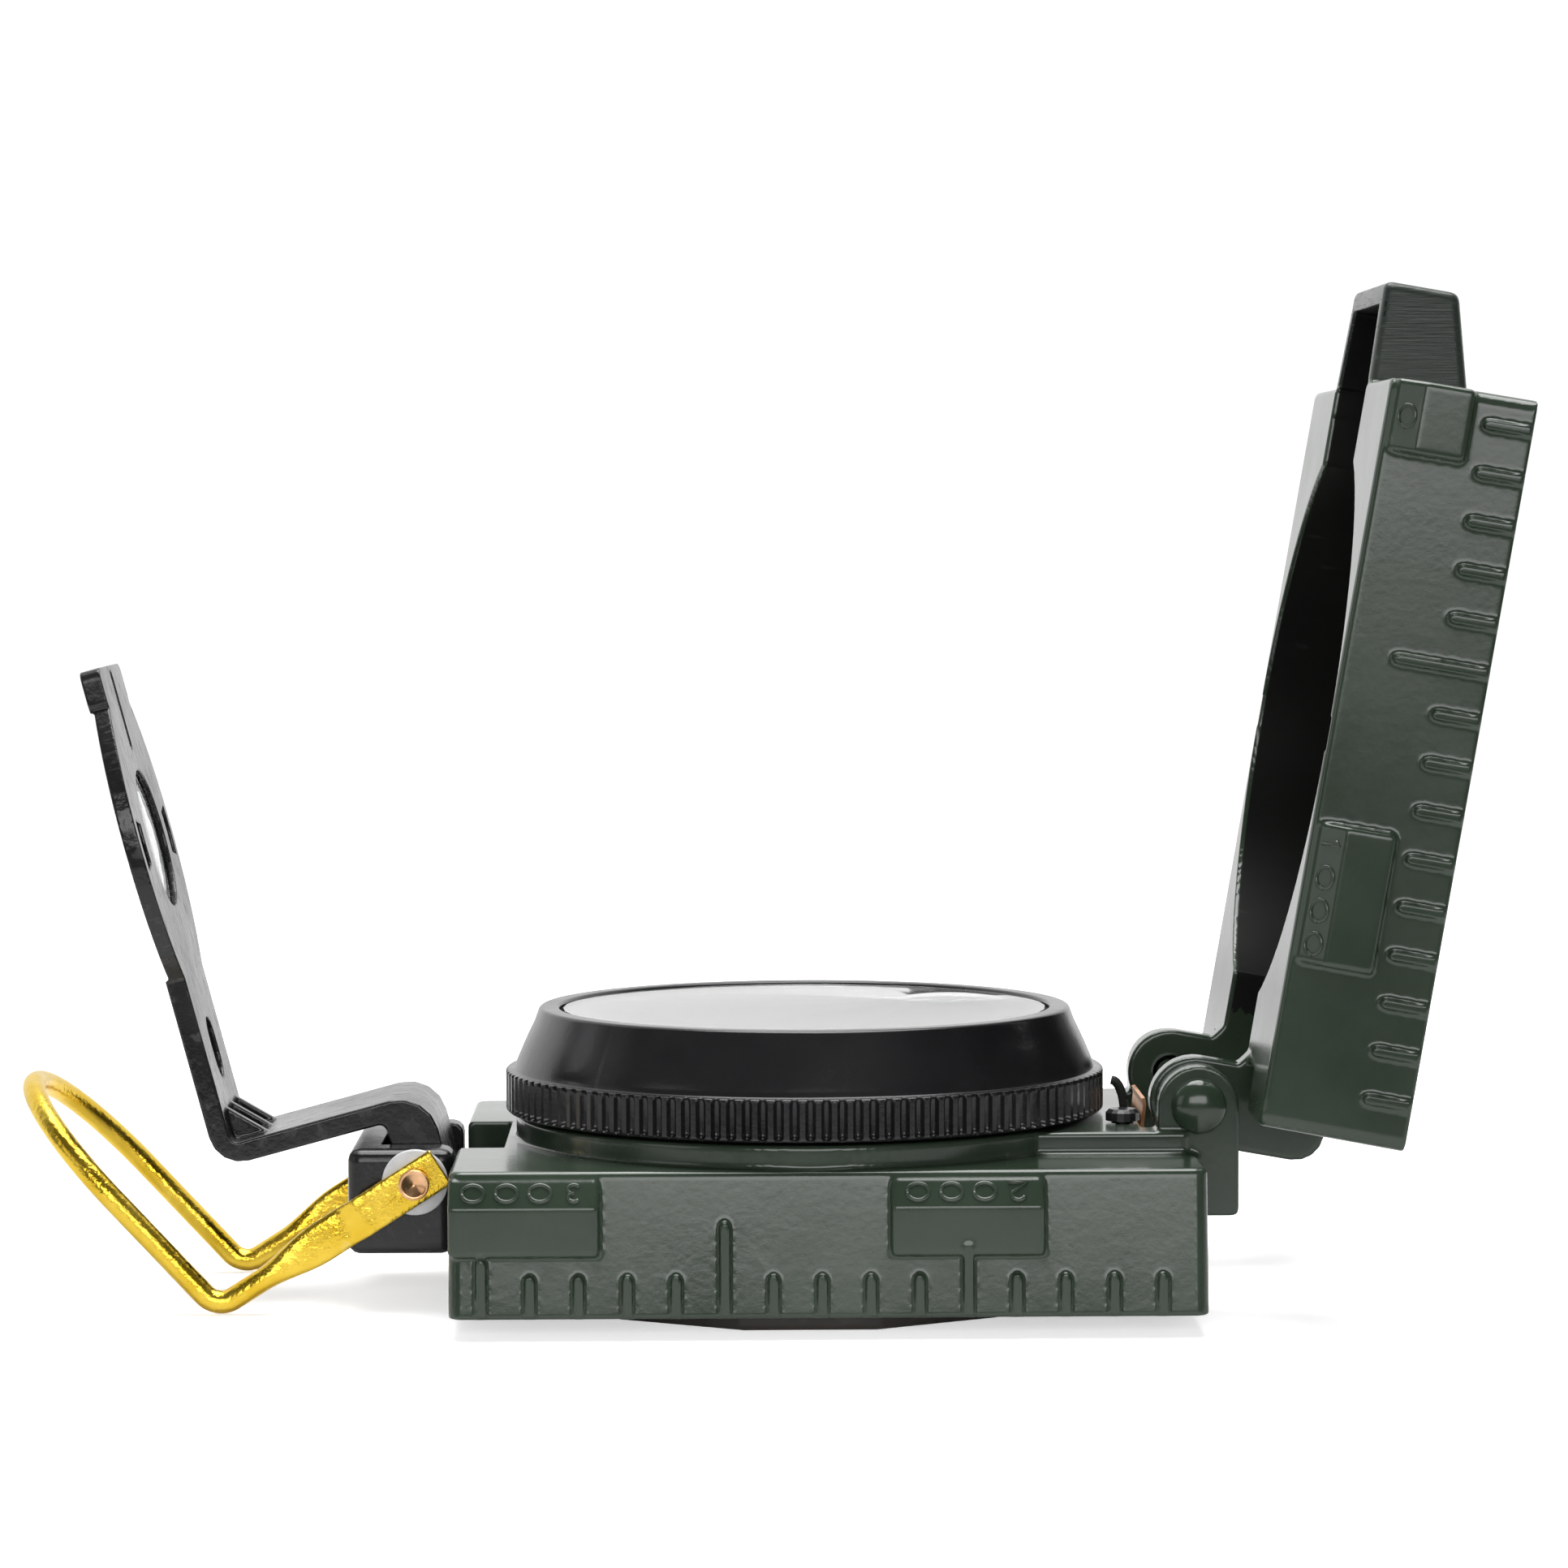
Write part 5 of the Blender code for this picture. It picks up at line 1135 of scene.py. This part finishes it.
def bezel_profile():
    """(radius, height, how much of the knurl shows) down the outside and back up the inside."""
    root = BEZEL_BAND_RADIUS - KNURL_DEPTH
    inner = NECK_RADIUS + GAP
    wall = BEZEL_GLASS_RADIUS + GAP
    groove = inner + GROOVE_DEPTH
    top = BEZEL_TOP
    rows = [(BEZEL_WINDOW_RADIUS, BEZEL_GLASS_TOP + GAP, 0), (BEZEL_WINDOW_RADIUS, top - 0.0003, 0)]
    rows += [(r, z, 0) for r, z in arc((BEZEL_WINDOW_RADIUS + 0.0003, top - 0.0003), 0.0003, 150, 90, 3)]
    rows += [(r, z, 0) for r, z in arc((BEZEL_TOP_RADIUS - 0.0004, top - 0.0004), 0.0004, 90, 20, 6)]
    swell = 0.00008
    flare = BEZEL_FOOT_RADIUS - BEZEL_TOP_RADIUS
    for share in (0.15, 0.35, 0.6, 0.8, 0.93):
        rows.append((
            BEZEL_TOP_RADIUS + flare * share + swell * math.sin(math.pi * share),
            top - 0.0006 - (top - 0.0006 - BEZEL_BAND_TOP - 0.00025) * share, 0))
    band = BEZEL_BAND_RADIUS
    rows += [
        (BEZEL_FOOT_RADIUS, BEZEL_BAND_TOP + 0.00012, 0),
        (BEZEL_FOOT_RADIUS + 0.0001, BEZEL_BAND_TOP + 0.00002, 0),
        (band - 0.00026, BEZEL_BAND_TOP - 0.00001, 0),
        (band - 0.0001, BEZEL_BAND_TOP - 0.00005, 0.3),
        (band - 0.00002, BEZEL_BAND_TOP - 0.00013, 0.6),
        (band, BEZEL_BAND_TOP - 0.00022, 0.8),
        (band, BEZEL_BAND_TOP - 0.00036, 0.93),
        (band, BEZEL_BAND_TOP - 0.0006, 1),
        (band, BEZEL_BOTTOM + 0.0007, 1),
        (band, BEZEL_BOTTOM + 0.00042, 0.94),
        (band, BEZEL_BOTTOM + 0.0003, 0.7),
        (band - 0.00002, BEZEL_BOTTOM + 0.0002, 0),
        (band - 0.0002, BEZEL_BOTTOM + 0.00004, 0),
        (root - 0.0004, BEZEL_BOTTOM, 0),
        (inner, BEZEL_BOTTOM, 0),
        (inner, GROOVE_LOW, 0),
        (groove, GROOVE_LOW, 0),
        (groove, GROOVE_HIGH, 0),
        (inner, GROOVE_HIGH, 0),
        (inner, NECK_TOP + GAP, 0),
        (wall, NECK_TOP + 2 * GAP, 0),
        (wall, BEZEL_GLASS_TOP + GAP, 0),
    ]
    return rows


def bezel_moulding():
    rows = bezel_profile()
    columns = KNURL_TEETH * TOOTH_SAMPLES
    bm = bmesh.new()
    rings = []
    for radius, height, share in rows:
        ring = []
        for column in range(columns):
            angle = 2 * math.pi * column / columns
            reach = radius - KNURL_GROOVE_DEPTH * groove_depth(column % TOOTH_SAMPLES / TOOTH_SAMPLES, share)
            ring.append(bm.verts.new((reach * math.cos(angle), reach * math.sin(angle), height)))
        rings.append(ring)
    for upper, lower in zip(rings, rings[1:] + rings[:1]):
        for column in range(columns):
            after = (column + 1) % columns
            bm.faces.new((upper[column], upper[after], lower[after], lower[column]))
    moulding = add_mesh("bezel_moulding", bm)
    attach(crease(paint(moulding, BLACK), 50), "bezel", "black_plastic", "bezel_ring")


def bezel_window():
    window = bezel_glass()
    window = solid(window)
    window.name = "bezel_window"
    attach(crease(paint(window, GLASS), 30), "bezel", "glass", "bezel_glass")


def ring_wire_loop():
    """The brass thumb ring, with rolled flats at its ends."""
    slim = 0.985
    near = [
        ring_section((centre, forward, flat, wide * slim, thick * slim), 24)
        for centre, forward, flat, wide, thick in ring_stations()]
    mirror = Matrix.Diagonal((1, -1, 1))
    far = [[mirror @ point for point in section] for section in reversed(near[:-1])]
    bm = bmesh.new()
    loops = [[bm.verts.new(point) for point in section] for section in near + far]
    for first, second in zip(loops, loops[1:]):
        for side in range(len(first)):
            after = (side + 1) % len(first)
            bm.faces.new((first[side], first[after], second[after], second[side]))
    bm.faces.new(loops[0])
    bm.faces.new(loops[-1])
    ring = add_mesh("thumb_loop", bm)
    cut(ring, rod("ring_bore", PIN_RADIUS + GAP, -0.02, 0.02, "Y", at=(PIVOT_X, 0, PIVOT_Z), steps=40))
    ring = crease(paint(solid(ring), BRASS), 32)
    attach(ring, "ring", "brass", "thumb_ring")


# The rolled lug of the thumb ring: distances from the pin, and the heights of its ridge and its swell
LUG_STEP_END = 0.0071
LUG_RIDGE = 0.00006
LUG_TAPER_START = 0.0095
LUG_TAPER_END = 0.0155
LUG_SWELL = 0.00025


def ring_stations():
    """Centre, forward direction, flat direction and half sizes along one arm, from lug to loop end."""
    start = Vector((PIVOT_X, 0, PIVOT_Z))
    bend = Vector((RING_BEND[0], 0, RING_BEND[1]))
    end = Vector((RING_END[0], 0, RING_END[1]))
    first = (bend - start).normalized()
    second = (end - bend).normalized()
    across = Vector((0, 1, 0))
    turn = first.angle(second)
    trim = RING_BEND_RADIUS * math.tan(turn / 2)
    arm_end = (bend - start).length - trim
    stations = []
    alongs = [-RING_LUG_REACH, -RING_LUG_REACH + 0.00008]
    alongs += [-RING_LUG_REACH + 0.0002 + 0.0003 * step for step in range(62)]
    alongs += [arm_end]
    for along in alongs:
        inset = blend((along - RING_LUG_LENGTH) / (LUG_STEP_END - RING_LUG_LENGTH))
        ridge = math.exp(-((along - RING_LUG_LENGTH) / 0.0004) ** 2)
        y = -RING_LUG_Y + inset * (RING_LUG_Y - RING_HALF_WIDTH) - LUG_RIDGE * ridge
        round_off = blend((along - LUG_TAPER_START) / (LUG_TAPER_END - LUG_TAPER_START))
        swell = blend((along - RING_LUG_LENGTH) / 0.0030) * (1 - round_off)
        wide = RING_LUG_HALF_WIDTH + round_off * (RING_WIRE_RADIUS - RING_LUG_HALF_WIDTH)
        thick = RING_LUG_THICKNESS / 2 + round_off * (RING_WIRE_RADIUS - RING_LUG_THICKNESS / 2)
        thick += LUG_SWELL * swell
        if along == -RING_LUG_REACH:
            wide -= 0.00006
            thick -= 0.00006
        centre = start + first * along + across * y
        stations.append((centre, first.copy(), first.cross(across), wide, thick))
    for step in range(1, 17):
        angle = turn * step / 16
        forward = Matrix.Rotation(angle, 3, across) @ first
        chord = RING_BEND_RADIUS * 2 * math.sin(angle / 2)
        direction = Matrix.Rotation(angle / 2, 3, across) @ first
        centre = start + first * arm_end + direction * chord - across * RING_HALF_WIDTH
        stations.append((centre, forward, forward.cross(across), RING_WIRE_RADIUS, RING_WIRE_RADIUS))
    loop_start = (end - bend).length - RING_HALF_WIDTH
    for step in range(0, 33):
        angle = math.pi / 2 * step / 32
        centre = bend + second * (loop_start + RING_HALF_WIDTH * math.sin(angle))
        centre = centre - across * RING_HALF_WIDTH * math.cos(angle)
        forward = second * math.cos(angle) + across * math.sin(angle)
        stations.append((centre, forward, second.cross(across), RING_WIRE_RADIUS, RING_WIRE_RADIUS))
    return stations


def pins():
    """The copper cross pin, the two domed hinge pins and the washers."""
    lug_face = RING_LUG_Y + RING_LUG_THICKNESS / 2 + GAP
    head = lug_face + 0.0007
    half = [(0.0, head - 0.00055), (0.00018, head - 0.00052), (0.00092, head - 0.00006), (0.00102, head)]
    half += arc((PIN_HEAD_RADIUS - 0.0001, head - 0.0001), 0.0001, 90, 0, 3)
    half += [(PIN_HEAD_RADIUS, lug_face), (PIN_RADIUS, lug_face)]
    mirrored = [(radius, -height) for radius, height in reversed(half)]
    pin = turned("cross_pin", half + mirrored, "Y", (PIVOT_X, 0, PIVOT_Z), closed=False, steps=64)
    attach(crease(paint(pin, COPPER), 35), "case", "copper", "bracket_pin")
    for side_name, side in (("near", -1), ("far", 1)):
        face = EAR_OUTER + 0.0001
        dome = arc((0, 0), 1, 90, 4, 16)
        profile = [(x * HINGE_HEAD_RADIUS, face + z * HINGE_HEAD_HEIGHT) for x, z in dome]
        profile += [
            (HINGE_HEAD_RADIUS, face - 0.00012), (HINGE_PIN_RADIUS, face - 0.00012),
            (HINGE_PIN_RADIUS, ARM_OUTER - 0.0024), (0, ARM_OUTER - 0.0024)]
        hinge = turned("hinge_dome_" + side_name, profile, "Y", closed=False, steps=64)
        if side < 0:
            hinge.data.transform(Matrix.Rotation(math.pi, 4, "Z"))
        hinge.data.transform(Matrix.Translation((HINGE_X, 0, HINGE_Z)))
        attach(crease(paint(hinge, OLIVE), 40), "case", "olive_paint", "hinge_pin_" + side_name)
        inner_face = BLOCK_HALF_WIDTH + GAP
        low, high = sorted((side * inner_face, side * (inner_face + WASHER_THICKNESS)))
        edge = 0.00012
        washer = turned("washer_" + side_name, [
            (PIN_RADIUS + GAP, high), (WASHER_RADIUS - edge, high), (WASHER_RADIUS, high - edge),
            (WASHER_RADIUS, low + edge), (WASHER_RADIUS - edge, low), (PIN_RADIUS + GAP, low),
        ], "Y", (PIVOT_X, 0, PIVOT_Z), steps=64)
        attach(crease(paint(washer, NYLON), 50), "case", "white_nylon", "nylon_washer_" + side_name)


def label(name, text, size, at, turn, finished, thickness=0.00002):
    """Flat printed characters on the dial."""
    curve = bpy.data.curves.new(name, "FONT")
    curve.body = text
    curve.size = size
    curve.extrude = thickness
    curve.align_x = "CENTER"
    curve.align_y = "CENTER"
    obj = bpy.data.objects.new(name, curve)
    PARTS.objects.link(obj)
    return paint(solid(obj, Matrix.Translation(at) @ Matrix.Rotation(turn, 4, "Z")), finished)


def dial_card():
    """The printed dial: a card, a ring of ticks, the degrees and a north arrow."""
    hub = 0.0015
    top = DIAL_BOTTOM + 0.0005
    edge = 0.0001
    card = turned("dial_card", [
        (hub, top), (DIAL_RADIUS - edge, top), (DIAL_RADIUS, top - edge), (DIAL_RADIUS, DIAL_BOTTOM),
        (hub, DIAL_BOTTOM)], steps=128)
    attach(crease(paint(card, DIAL_WHITE), 40), "dial", "dial_white", "compass_dial")
    marks = []
    for degree in range(0, 360, 5):
        length = 0.0018 if degree % 30 == 0 else 0.0012 if degree % 10 == 0 else 0.0007
        width = 0.00011 if degree % 10 == 0 else 0.00007
        outer = DIAL_RADIUS - 0.0004
        tick = box("tick", (outer - length, -width, top - 0.00001), (outer, width, top + 0.00002))
        tick.data.transform(Matrix.Rotation(math.radians(degree), 4, "Z"))
        marks.append(tick)
    for degree in range(0, 360, 30):
        angle = math.radians(180 - degree)
        at = (0.0137 * math.cos(angle), 0.0137 * math.sin(angle), top + 0.00001)
        marks.append(label("degrees", str(degree), 0.0021, at, angle - math.pi / 2, DIAL_INK))
    for letter, degree in (("E", 90), ("S", 180), ("W", 270)):
        angle = math.radians(180 - degree)
        at = (0.0103 * math.cos(angle), 0.0103 * math.sin(angle), top + 0.00001)
        marks.append(label("letter", letter, 0.0034, at, angle - math.pi / 2, DIAL_INK))
    ink = merge("dial_marks", marks)
    attach(crease(paint(ink, DIAL_INK), 40), "dial", "rubber")
    outline = [(-0.0122, 0), (-0.0085, 0.0020), (-0.0092, 0.0006), (-0.0045, 0.0006), (-0.0045, -0.0006),
               (-0.0092, -0.0006), (-0.0085, -0.0020)]
    arrow = sheet("dial_north_arrow", outline, "XY", top - 0.00001, top + 0.00003)
    attach(crease(paint(arrow, DIAL_RED), 40), "dial", "copper")


def finish_cad_nodes():
    """Finishes for the CAD nodes that stay."""
    kept = {
        STEEL: ("bottom_cover_screw_1", "bottom_cover_screw_2", "bottom_cover_screw_3",
                "bottom_cover_screw_4", "front_block_pin_near",
                "front_block_pin_far", "capsule_retaining_ring", "pivot_post",
                "dial_magnet", "bezel_snap_ring"),
        BLACK: ("click_spring_screw", "bezel_glass_retainer", "lens_ring"),
        DARK_STEEL: ("bezel_click_spring", "sight_wire", "sight_wire_anchor_low", "sight_wire_anchor_high"),
        BRONZE: ("hinge_friction_spring", "friction_spring_rivet"),
        ROLLED_BRASS: ("capsule_housing", "jewel_bearing"),
        RUBBER: ("capsule_gasket",),
        LENS_GLASS: ("capsule_glass", "sighting_lens"),
    }
    for finished, names in kept.items():
        for name in names:
            node = frame["nodes"][name]
            if not node.material_slots:
                node.data.materials.append(finished)
            for holder in node.material_slots:
                holder.material = finished


# ------------------------------------------------------------- light and camera

CAMERA_PLACE = Vector((-0.008355, -0.430116, 0.067263))
CAMERA_YAW = math.radians(0.888)
CAMERA_DROP = math.radians(3.059)
CAMERA_ROLL = math.radians(0.1935)
CAMERA_LENS = 113.70


def add_camera():
    forward = Vector((
        math.sin(CAMERA_YAW) * math.cos(CAMERA_DROP),
        math.cos(CAMERA_YAW) * math.cos(CAMERA_DROP),
        -math.sin(CAMERA_DROP)))
    level = forward.cross(Vector((0, 0, 1))).normalized()
    upright = level.cross(forward)
    right = level * math.cos(CAMERA_ROLL) - upright * math.sin(CAMERA_ROLL)
    up = upright * math.cos(CAMERA_ROLL) + level * math.sin(CAMERA_ROLL)
    data = bpy.data.cameras.new("camera")
    data.lens = CAMERA_LENS
    data.sensor_width = 36
    data.clip_start = 0.01
    data.clip_end = 20
    camera = bpy.data.objects.new("camera", data)
    turn = Matrix((right, up, -forward)).transposed().to_4x4()
    camera.matrix_world = Matrix.Translation(CAMERA_PLACE) @ turn
    bpy.context.scene.collection.objects.link(camera)
    bpy.context.scene.camera = camera


def add_softbox(name, place, target, size, power):
    data = bpy.data.lights.new(name, "AREA")
    data.shape = "RECTANGLE"
    data.size, data.size_y = size
    data.energy = power
    lamp = bpy.data.objects.new(name, data)
    aim = (Vector(target) - Vector(place)).to_track_quat("-Z", "Y")
    lamp.matrix_world = Matrix.Translation(place) @ aim.to_matrix().to_4x4()
    bpy.context.scene.collection.objects.link(lamp)


def add_world():
    """A studio that is white behind and overhead and dark on the near side."""
    world = bpy.data.worlds.new("studio")
    bpy.context.scene.world = world
    world.use_nodes = True
    tree = world.node_tree
    ground = tree.nodes["Background"]
    place = add_node(tree, "ShaderNodeTexCoord").outputs["Generated"]
    axes = add_node(tree, "ShaderNodeSeparateXYZ", {0: place})
    behind = spread(tree, axes.outputs["Y"], -0.10, 0.35, 0.12, 1.0)
    seen = add_node(tree, "ShaderNodeLightPath").outputs["Is Camera Ray"]
    shown = blend_colours(tree, seen, behind, (1.0, 1.0, 1.0))
    tree.links.new(shown, ground.inputs["Color"])
    ground.inputs["Strength"].default_value = 1.05


def white_to_camera(finished, glow):
    """Lift a floor's brightness for the camera so that it runs into the white background."""
    tree = finished.node_tree
    shader = tree.nodes["Principled BSDF"]
    seen = add_node(tree, "ShaderNodeLightPath").outputs["Is Camera Ray"]
    lift = add_node(tree, "ShaderNodeMath", {0: seen, 1: glow}, operation="MULTIPLY")
    shader.inputs["Emission Color"].default_value = (1, 1, 1, 1)
    tree.links.new(lift.outputs[0], shader.inputs["Emission Strength"])
    return finished


def add_studio():
    floor = box("studio_floor", (-0.5, -0.15, -0.01002), (0.5, 0.6, -0.00002))
    paint(floor, white_to_camera(FLOOR, 0.55))
    add_world()
    add_softbox("overhead", (0.02, 0.03, 0.5), (0, 0, 0.02), (0.40, 0.35), 3.0)
    add_softbox("front", (0.02, -0.90, 0.24), (0, 0, 0.02), (0.70, 0.28), 2.4)
    add_softbox("left", (-0.75, -0.50, 0.25), (0, 0, 0.03), (0.40, 0.40), 0.45)
    bpy.context.scene.view_settings.view_transform = "Standard"


def build():
    case_casting()
    case_numbers()
    cover_plate()
    block_moulding()
    lid_casting()
    lid_numbers()
    bracket_moulding()
    bezel_moulding()
    bezel_window()
    ring_wire_loop()
    pins()
    dial_card()
    finish_cad_nodes()
    for leftover in list(CUTTERS.objects):
        bpy.data.objects.remove(leftover, do_unlink=True)
    add_camera()
    add_studio()


build()
